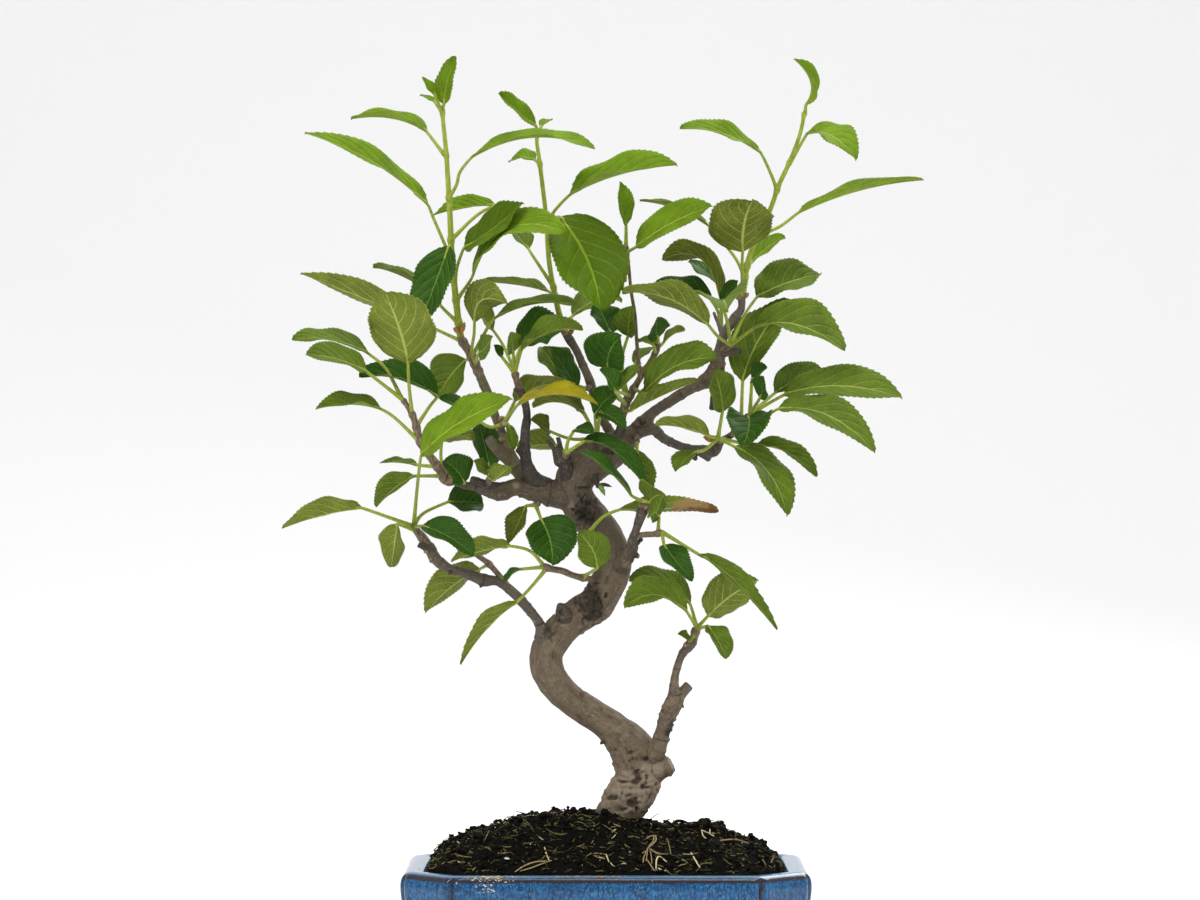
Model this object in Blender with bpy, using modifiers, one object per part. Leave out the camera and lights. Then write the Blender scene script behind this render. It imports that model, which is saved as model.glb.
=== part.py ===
# A crabapple bonsai in a glazed, chamfered stoneware pot: pot, soil, wood and leafy shoots.
# The origin is the middle of the pot's footprint, +Z up, the front towards -Y.

import math

import bmesh
import bpy
import numpy as np
from mathutils import Vector
from mathutils.bvhtree import BVHTree

MM = 0.001

# Driving sizes of the pot, in metres
POT_LENGTH = 0.200
POT_WIDTH = 0.142
POT_HEIGHT = 0.060
POT_CHAMFER = 0.024
RIM_WIDTH = 0.010
FOOT_HEIGHT = 0.006
FOOT_LENGTH = 0.034
FOOT_WIDTH = 0.020
FOOT_ROUND = 0.006
FOOT_PLACE = (0.064, 0.046)
FOOT_SINK = 0.002
FLOOR_HEIGHT = 0.014
DRAIN_RADIUS = 0.008
DRAIN_PLACE = 0.045
DRAIN_SIDES = 12
GROOVE_WIDTH = 0.0045
GROOVE_DEPTH = 0.0016
GAP = 0.0003

# The pot's outer wall from its foot up and over the rim: (height, inset, groove depth)
OUTER_WALL = [
    (FOOT_HEIGHT, 0.0095, 0), (FOOT_HEIGHT + 0.0015, 0.008, 0),
    (FOOT_HEIGHT + 0.006, 0.0064, GROOVE_DEPTH), (0.028, 0.0024, GROOVE_DEPTH),
    (0.041, -0.0008, GROOVE_DEPTH), (0.051, -0.0022, GROOVE_DEPTH),
    (POT_HEIGHT - 0.0045, -0.0016, 0), (POT_HEIGHT - 0.0016, -0.0003, 0),
    (POT_HEIGHT, 0.0014, 0), (POT_HEIGHT, RIM_WIDTH - 0.0014, 0),
]
# Its inside from the rim down to the floor: (height, inset)
INSIDE_WALL = [
    (POT_HEIGHT - 0.0014, RIM_WIDTH), (0.050, RIM_WIDTH + 0.001),
    (0.028, RIM_WIDTH + 0.0035), (FLOOR_HEIGHT, RIM_WIDTH + 0.008),
]

# The tree is laid out from its picture: places are pixels of a level view that is 1200 wide and
# 900 high, with a depth in millimetres, positive away from the front.
RIM_LENGTH_PIXELS = 394
PIXEL = POT_LENGTH / RIM_LENGTH_PIXELS
VIEW_DISTANCE = 2.2
VIEW_X = -0.003
VIEW_Z = 0.2696
VIEW_MIDDLE = (600, 450)

# Leaves
LEAF_THICKNESS = 0.0008
STALK_HALF_WIDTH = 0.00065
BLADE_STEPS = (0.0, 0.16, 0.37, 0.58, 0.8, 1.0)
SMALL_BLADE_STEPS = (0.0, 0.24, 0.5, 0.76, 1.0)
SMALL_LEAF = 14.5
BLADE_FOOT = 0.62
BLADE_POINT = 0.74
BLADE_SCALE = 2.56
TOOTH = 0.12
WAVE = 0.10
WAVE_STEP = 2.1
FOLD_MIDDLE = 24
FOLD_SWING = 9
FOLD_STEP = 2.4
CLEAR_REACH = 0.00115
ROOT_SHARE = 0.55
OTHER_SPRAY_WEIGHT = 4
DEEPEST = 68
BASE_SHIFTS = (0, -4, 4, -8, 8, -12, 12)
TIP_SHIFTS = (0, -6, 6, -12, 12, -18, 18, -24, 24, -30, 30, -38, 38)

THICK_LIMB = 11
WELD = 0.000002
BUD_TIP = 0.0012
SHARP_DEGREES = 40
SOIL_EDGE = 0.0565
SOIL_END_RUN = 0.012
SOIL_FALL = 2.2
SOIL_END_FALL = 0.7
SOIL_GRID = (25, 17)
SOIL_CRUMB = 0.0008
SOIL_SEED = 11
SWELL = 0.0011
SWELL_X = (210, 1.3)
SWELL_Y = (260, 0.4)

BODIES = {
    "green stem": ((0.22, 0.27, 0.07, 1), 0.5),
    "bark": ((0.19, 0.16, 0.13, 1), 0.85),
    "blue glaze": ((0.03, 0.09, 0.28, 1), 0.18),
    "peat": ((0.035, 0.026, 0.02, 1), 0.95),
}
LEAF_ROUGHNESS = 0.5
TONES = {
    "young": (0.36, 0.50, 0.07, 1),
    "mid": (0.13, 0.27, 0.05, 1),
    "deep": (0.05, 0.14, 0.05, 1),
    "olive": (0.26, 0.31, 0.10, 1),
    "pale": (0.33, 0.40, 0.22, 1),
    "gold": (0.52, 0.42, 0.06, 1),
}

# The trunk and its branches: (x, y, radius in pixels, depth) down each middle line
TRUNK = [
    (616, 862, 27, 0), (616, 838, 26, 0), (617, 818, 23, 0), (627, 800, 23.5, 0), (639, 777, 24.5, 0),
    (632, 750, 23, 1), (611, 727, 16.5, 1), (586, 710, 15.2, -1), (562, 692, 15.5, -3),
    (547, 668, 16.5, -4), (550, 645, 16.8, -3), (572, 620, 16.5, -1), (597, 603, 17, 1),
    (608, 583, 18, 2), (615, 562, 16.5, 2), (608, 540, 17, 1), (592, 520, 18.5, -1),
    (576, 498, 18, -3), (575, 478, 19, -3), (592, 462, 20, -1), (613, 449, 18, 1), (628, 438, 12, 2),
]
BRANCHES = {
    "scar_right": [(645, 772, 16, -2), (664, 767, 11, -5), (671, 764, 9, -6)],
    "low_right": [
        (640, 768, 12, -2), (656, 752, 9, -7), (662, 735, 8, -9), (668, 715, 8.5, -11),
        (675, 700, 9, -13), (674, 690, 5.5, -14), (676, 672, 4, -15), (682, 655, 4.2, -16),
        (690, 645, 5.5, -16), (694, 637, 4.6, -16),
    ],
    "low_right_stub": [(675, 702, 6, -13), (681, 694, 5.6, -12), (689, 685, 5, -10)],
    "low_left": [
        (549, 650, 9, -4), (541, 638, 6, -8), (540, 624.7, 5, -9), (528, 608.4, 5.2, -10),
        (513.8, 593.2, 5, -10), (497.6, 581.3, 4.6, -9), (483.5, 580, 6, -9), (467, 573.7, 5, -8),
        (452, 569.4, 4.6, -8), (443.4, 565, 5.5, -8), (434.7, 557.5, 6, -8), (429.5, 547, 5.6, -8),
    ],
    "low_left_stub": [(432, 552, 4, -8), (424, 547, 3.4, -11), (418.4, 544.4, 3, -12)],
    "mid_left": [
        (570, 497, 14, -4), (550, 493, 13, -6), (530, 490, 10, -8), (515, 487, 8.5, -9),
        (500, 492, 9, -10), (487, 490, 7, -10), (474, 486, 4.6, -10), (466, 485.5, 4, -10),
        (454, 480.5, 4.6, -10),
    ],
    "mid_left_stub": [(500, 489, 7, -10), (488, 485.5, 5, -12), (470.6, 478.5, 3.5, -13)],
    "leader_base": [
        (546, 488, 9, -5), (530, 483, 9, -2), (523, 475.7, 8, 1), (514, 464, 7.5, 3),
        (508, 451, 6, 5), (503.6, 437, 4.6, 6), (500, 426.6, 4.2, 6), (497, 422, 4.2, 6),
        (490, 400, 5, 5), (481, 378, 4.8, 4),
    ],
    "leader_stub": [(512, 463, 6.5, 3), (495, 447, 5.5, 1), (488, 437, 4.6, 0)],
    "dark_upright": [
        (548, 487, 9, -6), (534, 479, 8, -10), (526.8, 465, 6.5, -12), (525, 444, 5, -12),
        (525.4, 430, 4.8, -12), (527, 416, 4, -12), (524, 399, 3.8, -11), (519.6, 390, 3.8, -10),
    ],
    "dark_upright_stub": [(525, 456, 4, -12), (516.5, 449, 2.8, -14)],
    "inner_knob": [(568, 478, 8, -8), (565.7, 467, 6.5, -12), (561, 458, 8.5, -13), (557, 452, 5, -13)],
    "inner_knob_stub": [(557, 454, 2.6, -13), (547.5, 440, 2.2, -16)],
    "inner_knob_spur": [(562, 454, 2.8, -13), (558, 437, 2.4, -11)],
    "upper_middle": [
        (613, 446, 9, 2), (611, 434, 5.5, 5), (600, 415, 4.6, 7), (593.6, 393, 4.5, 8),
        (588.7, 378, 4.4, 8), (582.8, 364.6, 4.3, 8), (576, 349.7, 4.3, 7), (567, 335.5, 4.4, 6),
    ],
    "upper_right": [
        (622, 441, 9, 2), (632, 434, 8, 3), (644, 424, 9.5, 4), (651.5, 413.7, 5.6, 5),
        (671.4, 400.4, 5.5, 6), (691.8, 388, 5.5, 7), (704, 382, 7, 8), (716, 370, 8.5, 8),
        (719.5, 351, 5.6, 8), (724, 335, 5, 8), (734.6, 318, 4.8, 8), (741, 309.5, 4, 8),
        (742, 297, 3.6, 8),
    ],
    "upper_right_stub": [(720, 353, 5, 8), (731, 351.5, 4.4, 5), (741, 351, 4, 3)],
    "upper_right_spur": [(717, 380, 3.6, 7), (713, 396, 2.6, 4), (712, 410, 3.2, 2)],
    "upper_right_twig": [(723, 338, 3.6, 8), (720, 328, 2.4, 11), (714, 313, 1.9, 14)],
    "broken": [
        (638, 432, 7, 1), (653, 429, 6, -2), (663, 438, 5, -3), (677.6, 445.3, 4.6, -4),
        (690, 449, 4.6, -4), (702, 450.4, 5.6, -4), (714, 450.5, 6, -4), (721.4, 441.2, 3.8, -4),
        (728.6, 436.6, 3.4, -4), (734, 434, 3.4, -4),
    ],
    "broken_stub": [(684, 448, 4.2, -4), (697, 459.6, 2.8, -7)],
    "broken_stub_right": [(698, 451, 4.4, -4), (710, 460.6, 2.4, -2)],
    "upper_centre": [(617, 441, 8, 0), (620, 430, 4.6, -3), (622, 418, 4.2, -4)],
    "front_twig": [
        (618, 566, 9, -3), (626, 559, 7, -9), (632, 547.6, 6, -16), (633, 539.4, 5, -19),
        (637, 527, 4.2, -23), (642, 512, 5.6, -26), (643.4, 507, 4.4, -26.5),
    ],
    "front_twig_stub": [(630, 552, 3.6, -12), (639, 556.7, 2.6, -16)],
    "front_twig_spur": [(633, 543, 3.4, -17), (640, 541.6, 2.6, -16)],
    "left_wound": [(566, 618, 9, -6), (561, 611, 6, -11), (561, 604, 3.4, -13)],
    "dark_wound": [(592, 610, 11, -6), (590, 602, 10, -9)],
    "upper_cavity": [(590, 513, 10, -8), (586, 509, 9, -10)],
    "cavity_spur_left": [(587, 506, 3, -11), (586, 496.5, 2, -14)],
    "cavity_spur_right": [(592, 509, 3, -10), (596, 502, 2, -14)],
    "trunk_bud": [(590, 536, 6, -8), (585, 541, 4, -11)],
    "upper_spur": [(594, 474, 4, -8), (598, 486, 2.6, -12)],
    "upper_knot": [(606, 452, 9, -6), (604, 447, 7, -8)],
}

# Leafy stems. A leaf is (stalk, blade, half width, face, depths, tone): the stalk's first point
# lies on its stem and the blade runs base, middle, tip. Face is the turn of the upper side about
# the midrib in degrees: 0 looks at the front, 90 at the sky, 180 away from the front. Depths are
# those of the blade's base and tip.
SPRAYS = {
    "leader_shoot_left": {
        "stems": [[
            (482, 380, 4.4, 4), (471, 355, 4.4, 4), (463, 342, 4.2, 3), (460, 333, 3.6, 3),
            (456, 300, 3.3, 2), (452, 260, 3.1, 0), (450, 215, 2.8, -1), (448, 180, 2.5, -2),
            (446, 150, 2.3, -2), (443, 120, 2, -2), (442, 105, 1.8, -2),
        ]],
        "leaves": [
            ([(442, 110)], [(444, 104), (447, 84), (455, 56)], 13, 35, (-2, -10), "young"),
            ([(442, 113)], [(435, 95), (428, 87), (422, 77)], 7, 50, (-6, -13), "young"),
            ([(442, 112)], [(435, 102), (428, 98), (420, 95)], 5, 60, (2, 5), "young"),
            ([(444.5, 155)], [(427, 132), (392, 118), (351, 119)], 15, 77, (6, 20), "young"),
            ([(452, 261), (445, 245), (433, 217)], [(428, 205), (373, 162), (305, 133)], 18, 62,
             (-8, -26), "young"),
            ([(449, 198), (456.6, 184.6), (460, 172)], [(472, 157), (533, 137), (595, 149)], 17, 72,
             (-8, -24), "young"),
            ([(451, 240), (476, 216)], [(495, 205), (465, 207), (434, 215)], 13, 52, (10, 16),
             "young"),
            ([(455, 278), (458, 264)], [(464, 248), (494, 228), (523, 203)], 24, 55, (-12, -30),
             "deep"),
            ([(451.6, 256)], [(449, 246), (434, 287), (420, 324)], 23, 22, (-16, -34), "deep"),
            ([(458, 323), (441, 306)], [(438, 298), (405, 277), (373, 267)], 13, 78, (-4, -22),
             "mid"),
            ([(457, 300), (470, 281)], [(473, 275), (508, 229), (566, 232)], 25, 58, (-16, -42),
             "young"),
            ([(478, 371), (472, 352), (474, 335)], [(474.5, 322), (482, 300), (508, 304)], 20, 155,
             (-10, -24), "pale"),
            ([(472, 357), (488, 327)], [(495, 318), (538, 303), (580, 307)], 15, 72, (-6, -14),
             "mid"),
            ([(463, 342)], [(429, 326), (371, 301), (301, 273.5)], 20, 122, (14, 32), "pale"),
            ([(472, 358)], [(466, 360), (452, 374), (437, 398)], 25, 20, (14, 32), "mid"),
            ([(475, 364)], [(479, 353), (486, 347), (492, 337)], 13, 45, (-12, -26), "mid"),
        ],
    },
    "leader_shoot_centre": {
        "stems": [[
            (568, 338, 4, 6), (562, 324, 3.4, 6), (555, 295, 2.7, 8), (549, 260, 2.5, 9),
            (546, 216, 2.3, 10), (540, 165, 2.1, 10), (537, 143, 1.9, 10), (537, 130, 1.7, 10),
        ]],
        "leaves": [
            ([(537, 133)], [(536, 126), (515, 109), (499, 92.6)], 12, 45, (6, -8), "young"),
            ([(537, 134)], [(541, 127), (546, 122), (552, 120)], 6, 55, (13, 20), "young"),
            ([(540, 164)], [(535, 160), (522, 157), (509, 162)], 12, 62, (14, 24), "young"),
            ([(546, 224), (556, 209)], [(569.6, 195), (620, 174), (677, 165)], 24, 62, (4, -18),
             "young"),
            ([(546, 220)], [(560, 217), (588, 262), (600, 310)], 40, 22, (-8, -34), "young"),
            ([(553.5, 287), (533, 256)], [(528.6, 248.8), (515, 232), (505, 212)], 16, 50, (22, 36),
             "mid"),
            ([(555, 296)], [(548, 291), (515, 284), (480, 282)], 12, 74, (16, 30), "mid"),
            ([(562, 325)], [(573, 315.7), (597, 300), (622, 301)], 17, 58, (18, 34), "mid"),
        ],
    },
    "leader_shoot_right": {
        "stems": [[
            (742, 300, 3.6, 8), (743, 288, 3.2, 8), (748, 262, 2.9, 8), (757, 235, 2.6, 7),
            (770, 210, 2.5, 6), (779, 185, 2.4, 4), (790, 161, 2.2, 2), (800, 134, 2, 0),
            (805, 110, 1.8, 0),
        ]],
        "leaves": [
            ([(805, 114)], [(806, 105), (811, 82), (794, 59)], 13, 72, (-2, -12), "young"),
            ([(777, 190), (771, 174)], [(761, 153), (722, 133), (680, 128)], 16, 60, (-8, -26),
             "young"),
            ([(790, 163)], [(807, 134), (832, 136), (856, 160)], 21, 52, (-12, -30), "young"),
            ([(757, 236), (779, 227)], [(798, 213), (860, 190), (924, 180)], 15, 80, (12, 26),
             "young"),
            ([(743, 290), (742, 270)], [(742.7, 251.6), (744, 224), (752.5, 200.3)], 36, 160,
             (-8, -22), "olive"),
            ([(747, 266)], [(752, 262), (768, 247), (785, 237)], 15, 50, (20, 30), "young"),
            ([(745, 277), (734, 256)], [(708.8, 225.7), (675, 208), (640, 201)], 11, 84, (24, 38),
             "pale"),
        ],
    },
    "spray_left_mid": {
        "stems": [[
            (456, 481, 4.6, -10), (446, 479, 5, -11), (439, 468, 4.6, -12), (429, 455, 4, -12),
            (421, 443, 4, -12), (416, 426, 3.4, -12), (412, 414, 2.9, -12), (402, 398, 2.4, -13),
        ]],
        "leaves": [
            ([(412, 415), (409, 385)], [(408, 363.5), (400, 330), (384.6, 291.6)], 35, 165,
             (-24, -42), "pale"),
            ([(416, 427), (430, 406)], [(437, 397), (403, 379), (359, 375.5)], 23, 55, (-4, -12),
             "deep"),
            ([(402, 399), (386, 369)], [(369, 354), (333, 340), (292, 339.5)], 18, 66, (-8, -22),
             "mid"),
            ([(403, 400)], [(367, 372), (337, 359), (306, 355)], 19, 55, (-22, -38), "mid"),
            ([(420, 442), (395, 418)], [(381, 409), (350, 404), (316, 409)], 15, 62, (-16, -30),
             "mid"),
            ([(438, 467)], [(417, 465), (398, 462), (380, 463)], 11, 76, (-8, 0), "mid"),
            ([(444, 476)], [(415, 476), (395, 488), (376, 507)], 17, 50, (-18, -30), "mid"),
            ([(449, 480)], [(464, 483), (456, 470), (443, 461)], 18, 35, (-24, -32), "deep"),
            ([(445, 478), (441, 458)], [(442, 441), (458, 435), (475, 440)], 13, 135, (4, 12),
             "pale"),
        ],
    },
    "spray_left_low": {
        "stems": [[
            (430.5, 549, 5, -8), (421.7, 536.9, 5, -8), (417, 531, 3.6, -8), (413, 524, 2.8, -8),
        ]],
        "leaves": [
            ([(413, 526)], [(362, 508), (322, 515), (282, 528.5)], 18, 118, (-16, -24), "pale"),
            ([(414, 530)], [(397, 524), (394, 545), (391, 567)], 16, 140, (-24, -38), "pale"),
            ([(414, 527)], [(422, 526), (447, 536), (473.7, 555.3)], 19, 45, (-18, -34), "deep"),
            ([(414, 525), (424, 513)], [(448, 502), (466, 502), (483, 503)], 20, 35, (-2, 10),
             "deep"),
            ([(414, 524), (417, 490)], [(421, 456), (458, 424), (512, 399)], 26, 52, (-28, -46),
             "young"),
        ],
    },
    "twig_left_low": {
        "stems": [[(508, 586, 3, -10), (490, 565, 2.8, -6), (476, 554, 2.6, -4), (469.4, 544, 2.2, -4)]],
        "leaves": [
            ([(489, 564)], [(480, 569), (452, 586), (425.5, 612.7)], 21, 140, (6, 16), "pale"),
        ],
    },
    "twig_trunk_left": {
        "stems": [[
            (598, 580, 3.2, 0), (582, 577.6, 3.2, -11), (572, 575, 3.2, -15), (562.5, 571, 3.4, -17),
            (550, 568.6, 3.2, -18), (540, 565, 2.6, -18),
        ]],
        "leaves": [
            ([(546, 568), (530, 551)], [(510.6, 546), (480, 551), (451, 562)], 17, 122, (-22, -28),
             "pale"),
            ([(545, 567)], [(522, 569), (513, 573), (505, 582)], 8, 68, (-26, -32), "deep"),
            ([(547, 568), (532, 586)], [(517, 602), (487, 628), (460.7, 664.8)], 14, 118,
             (-20, -30), "pale"),
            ([(583, 577)], [(597, 568), (592, 549), (578, 533)], 18, 18, (-30, -36), "mid"),
        ],
    },
    "spray_left_under": {
        "stems": [[(540, 494, 3.2, -8), (536, 507, 3.6, -9)]],
        "leaves": [
            ([(536, 506)], [(541, 519), (550, 541), (552.5, 565)], 30, 15, (-18, -28), "deep"),
            ([(535, 505)], [(526, 506), (518, 524), (508.4, 543.4)], 13, 40, (-12, -14), "olive"),
        ],
    },
    "spray_left_spur": {
        "stems": [[(520.6, 392, 3.6, -10), (516, 378, 3.4, -10), (514.9, 370, 3, -10)]],
        "leaves": [
            ([(515, 371), (517, 357)], [(521.5, 344.7), (541, 330), (563, 330)], 24, 38, (-2, 4),
             "deep"),
            ([(515, 372)], [(521.5, 350), (550, 332), (583, 329.8)], 17, 58, (-22, -38), "mid"),
            ([(515, 372)], [(513, 352), (512, 343), (511, 332)], 10, 40, (-18, -34), "mid"),
            ([(515, 371), (503, 345)], [(493, 330), (483, 317), (472, 306)], 14, 125, (8, 18),
             "mid"),
            ([(515, 374)], [(502, 357), (498, 351), (494, 345)], 6, 40, (-14, -18), "deep"),
        ],
    },
    "spray_left_inner": {
        "stems": [[(499, 426, 3, 6), (504, 424, 3.2, 0)]],
        "leaves": [
            ([(504, 424)], [(514.9, 401), (542, 385), (572.9, 385.3)], 18, 118, (-8, -18), "pale"),
            ([(504, 424)], [(516.5, 406), (555, 394), (598, 405)], 15, 70, (-20, -38), "gold"),
            ([(504, 424)], [(508, 424), (511, 437), (513, 451)], 7, 35, (-20, -26), "mid"),
            ([(503, 424), (490, 427)], [(477, 419), (458, 406), (440, 398)], 14, 60, (16, 28),
             "deep"),
        ],
    },
    "spray_left_inner_low": {
        "stems": [[(489, 488, 3, -11), (489, 477, 3.2, -16)]],
        "leaves": [
            ([(489, 477)], [(489.6, 470), (485, 446), (478, 421)], 18, 22, (12, 22), "deep"),
            ([(489, 477)], [(488, 472), (481, 467), (474, 461)], 9, 45, (-22, -28), "mid"),
            ([(489, 477)], [(494, 480), (501, 474), (510, 466)], 13, 140, (-24, -32), "pale"),
        ],
    },
    "spray_inner_spur": {
        "stems": [[(564, 462, 3, -12), (566, 453, 3.2, -19)]],
        "leaves": [
            ([(566, 453)], [(583, 442), (616, 452), (650, 495.5)], 16, 60, (-27, -32), "deep"),
            ([(566, 453), (568, 441)], [(574, 431), (583, 429), (593, 434)], 9, 48, (-20, -26),
             "deep"),
            ([(566, 453)], [(556, 445), (537, 445), (517, 449)], 16, 140, (6, 16), "pale"),
        ],
    },
    "spray_trunk_top": {
        "stems": [[(601, 452, 3.4, 0), (597, 438, 3.4, -4)]],
        "leaves": [
            ([(597, 438)], [(595, 416), (604, 402), (617, 393)], 17, 40, (-10, -22), "deep"),
            ([(597, 438)], [(600, 413), (611, 417), (625, 429)], 13, 45, (-18, -34), "deep"),
            ([(597, 438), (592, 428)], [(583.6, 414), (560, 402), (532.7, 407)], 14, 108, (8, 20),
             "pale"),
            ([(597, 438), (591, 426)], [(584.5, 413), (575, 404), (566, 396)], 10, 60, (0, -6),
             "olive"),
            ([(597, 438), (572, 439)], [(549, 431), (540, 425), (531, 419)], 12, 45, (-6, -12),
             "olive"),
        ],
    },
    "leaf_under_right_branch": {
        "stems": [[(637, 433, 3, 1), (637, 443, 2.8, -8)]],
        "leaves": [
            ([(637, 443)], [(637, 450), (642, 470), (652, 492)], 13, 40, (-12, -18), "mid"),
        ],
    },
    "spray_centre_left": {
        "stems": [[(591, 386, 3, 8), (586, 389, 2.8, 3)]],
        "leaves": [
            ([(586, 389)], [(577, 389), (564, 368), (549.7, 348)], 15, 40, (-4, -14), "deep"),
            ([(586, 389)], [(564, 381), (553, 364), (541, 347)], 21, 32, (12, 24), "mid"),
            ([(586, 389)], [(565, 390), (551, 388), (537, 394)], 9, 70, (16, 26), "young"),
        ],
    },
    "spray_centre": {
        "stems": [
            [
                (621.4, 421, 4, -4), (626, 403, 3.8, -5), (632, 392, 3.6, -6), (640, 378, 3.2, -6),
                (650, 362, 2.8, -7), (657, 349, 2.4, -8), (658, 341, 2.2, -8),
            ],
            [
                (640, 378, 2.4, -6), (637, 345, 1.9, -2), (635, 315, 1.8, 0), (631, 290, 1.7, 0),
                (628, 258, 1.6, -2), (626, 244, 1.5, -2),
            ],
        ],
        "leaves": [
            ([(626, 404), (612, 392)], [(608, 368), (610, 351), (621, 336)], 27, 22, (-16, -28),
             "deep"),
            ([(626, 405)], [(615, 391), (609, 380), (600, 369)], 14, 50, (-26, -38), "deep"),
            ([(630, 396)], [(617, 391), (628, 378), (641, 363)], 11, 60, (-30, -42), "mid"),
            ([(628, 400), (622, 362)], [(628, 336), (629, 321), (631, 306)], 16, 32, (-14, -24),
             "mid"),
            ([(628, 400), (613, 362)], [(611, 334), (604, 318), (597, 302)], 18, 35, (8, 16),
             "deep"),
            ([(634, 389)], [(644, 393), (677, 366), (717, 358)], 25, 55, (-18, -38), "mid"),
            ([(624, 410)], [(630, 411), (660, 396), (698, 380)], 15, 115, (-14, -26), "pale"),
            ([(658, 344)], [(658, 338), (656, 328), (658, 317)], 14, 42, (-13, -24), "deep"),
            ([(655, 353)], [(654, 346), (646, 341), (637, 343)], 9, 62, (-16, -26), "young"),
            ([(656, 350)], [(663, 343), (673, 334), (685, 330)], 9, 112, (-2, 8), "pale"),
            ([(645, 370)], [(635, 364), (644, 353), (657, 348)], 10, 62, (6, 14), "mid"),
            ([(626, 247)], [(626, 225), (621, 205), (620, 182)], 14, 48, (-8, -18), "young"),
            ([(627, 252)], [(636, 247), (670, 224), (712, 206)], 23, 50, (-8, -28), "young"),
        ],
    },
    "spray_right_top": {
        "stems": [[(722, 351, 3.4, 7), (731, 345, 3.2, -1)]],
        "leaves": [
            ([(731, 345), (744, 316)], [(757, 297), (787, 283), (821, 274)], 27, 45, (22, 36),
             "mid"),
            ([(731, 345)], [(754, 328), (797, 325), (845, 351)], 29, 48, (-12, -38), "mid"),
            ([(731, 345), (719.5, 338)], [(707.9, 324.6), (668, 298), (622, 292)], 25, 118,
             (-16, -30), "pale"),
            ([(731, 345), (727, 321)], [(722, 303), (724, 301), (728, 310)], 31, 6, (-14, -52),
             "mid"),
        ],
    },
    "spray_right_back": {
        "stems": [[(723.5, 338, 3, 8), (721, 328, 3, 16)]],
        "leaves": [
            ([(721, 328)], [(721, 302), (700, 258), (662, 260)], 19, 112, (26, 44), "olive"),
            ([(721, 328)], [(722, 286), (706, 272), (689, 261)], 15, 50, (40, 54), "deep"),
            ([(721, 328), (718, 312)], [(711, 300), (684, 287), (655, 284)], 15, 62, (34, 46),
             "deep"),
            ([(721, 328)], [(722, 302), (729, 291), (738, 281)], 10, 50, (20, 28), "deep"),
        ],
    },
    "spray_right_mid": {
        "stems": [[(731, 435.6, 3.4, -4), (742, 424, 3.4, -6), (750, 414, 3, -9)]],
        "leaves": [
            ([(741, 425)], [(742.7, 381), (760, 338), (790, 300)], 27, 35, (4, 20), "mid"),
            ([(750, 414)], [(752, 380), (759, 373), (767, 368)], 12, 48, (-16, -28), "deep"),
            ([(750, 414)], [(760, 398), (763, 387), (763, 376)], 11, 50, (-24, -36), "deep"),
            ([(750, 414)], [(775, 393), (800, 379), (826, 376)], 19, 42, (12, 26), "pale"),
            ([(750, 414)], [(783.8, 395), (840, 386), (902, 398)], 25, 48, (-16, -38), "mid"),
            ([(749, 415), (763, 417)], [(778, 409), (829, 416), (875, 453)], 22, 45, (-30, -54),
             "mid"),
            ([(746, 419)], [(748, 417), (749, 427), (743, 448)], 26, 12, (-16, -44), "deep"),
        ],
    },
    "spray_right_low": {
        "stems": [[(721.4, 443, 3, -3), (718, 438, 3.4, -9)]],
        "leaves": [
            ([(718, 438)], [(722.4, 412), (720, 391), (714, 370)], 19, 42, (-16, -26), "mid"),
            ([(718, 438)], [(709, 436), (682, 427), (655, 425)], 15, 118, (-14, -24), "pale"),
            ([(718, 438), (706, 449)], [(696, 452), (685, 460), (676, 471)], 13, 50, (-20, -30),
             "mid"),
            ([(718, 438)], [(734.4, 446.7), (768, 472), (787.2, 516)], 21, 45, (-20, -40), "mid"),
            ([(718, 438)], [(755, 446), (787, 452), (816.5, 477)], 14, 50, (12, 22), "mid"),
        ],
    },
    "spray_lower_mid": {
        "stems": [[(634, 536, 3, -20), (645, 534.6, 3, -22), (655, 534, 2.8, -25), (664, 532, 2.6, -27)]],
        "leaves": [
            ([(658, 533)], [(659, 517), (654, 508), (652, 498)], 15, 45, (-22, -32), "pale"),
            ([(662, 532)], [(664, 545), (675, 560), (692.4, 581)], 15, 32, (-34, -46), "deep"),
            ([(662, 532)], [(699, 554.5), (735, 581), (777, 630)], 13, 50, (-20, -40), "mid"),
        ],
    },
    "spray_lower_mid_tip": {
        "stems": [[(642.6, 511, 3.2, -26), (642, 501, 3.2, -29)]],
        "leaves": [
            ([(642, 501)], [(632, 496), (606, 468), (579, 451.6)], 15, 72, (-36, -50), "deep"),
            ([(642, 501)], [(650, 502), (656, 496), (664, 495)], 22, 16, (-32, -60), "mid"),
        ],
    },
    "leaf_trunk_front": {
        "stems": [[(587, 538, 3, -8), (588, 533, 2.6, -14)]],
        "leaves": [
            ([(588, 533), (603, 517)], [(618.7, 510), (670, 508), (718.5, 511)], 15, 104,
             (-16, -8), "pale"),
        ],
    },
    "spray_low_right": {
        "stems": [[(693.4, 640, 4.2, -16), (697, 626, 3.6, -17)]],
        "leaves": [
            ([(697, 628), (693, 613)], [(690, 604), (660, 580), (629, 581)], 18, 60, (-10, -4),
             "mid"),
            ([(697, 628)], [(687, 612), (655, 595), (624.6, 608)], 21, 50, (-28, -46), "mid"),
            ([(697, 628)], [(708, 616), (730, 596), (758, 580)], 27, 142, (-20, -30), "pale"),
            ([(697, 629)], [(708, 626), (718, 641), (726, 659)], 15, 42, (-28, -42), "mid"),
            ([(696, 632)], [(690, 641), (685, 637), (678, 634)], 7, 60, (-22, -27), "mid"),
        ],
    },
}

# The soil's ridge as seen over the rim: (x, y) in picture pixels
SOIL_RIDGE = [
    (420, 856), (440, 846), (470, 833), (505, 822), (530, 815), (580, 810), (617, 811), (645, 822),
    (690, 826), (706, 820), (730, 832), (752, 841), (790, 856),
]


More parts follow.
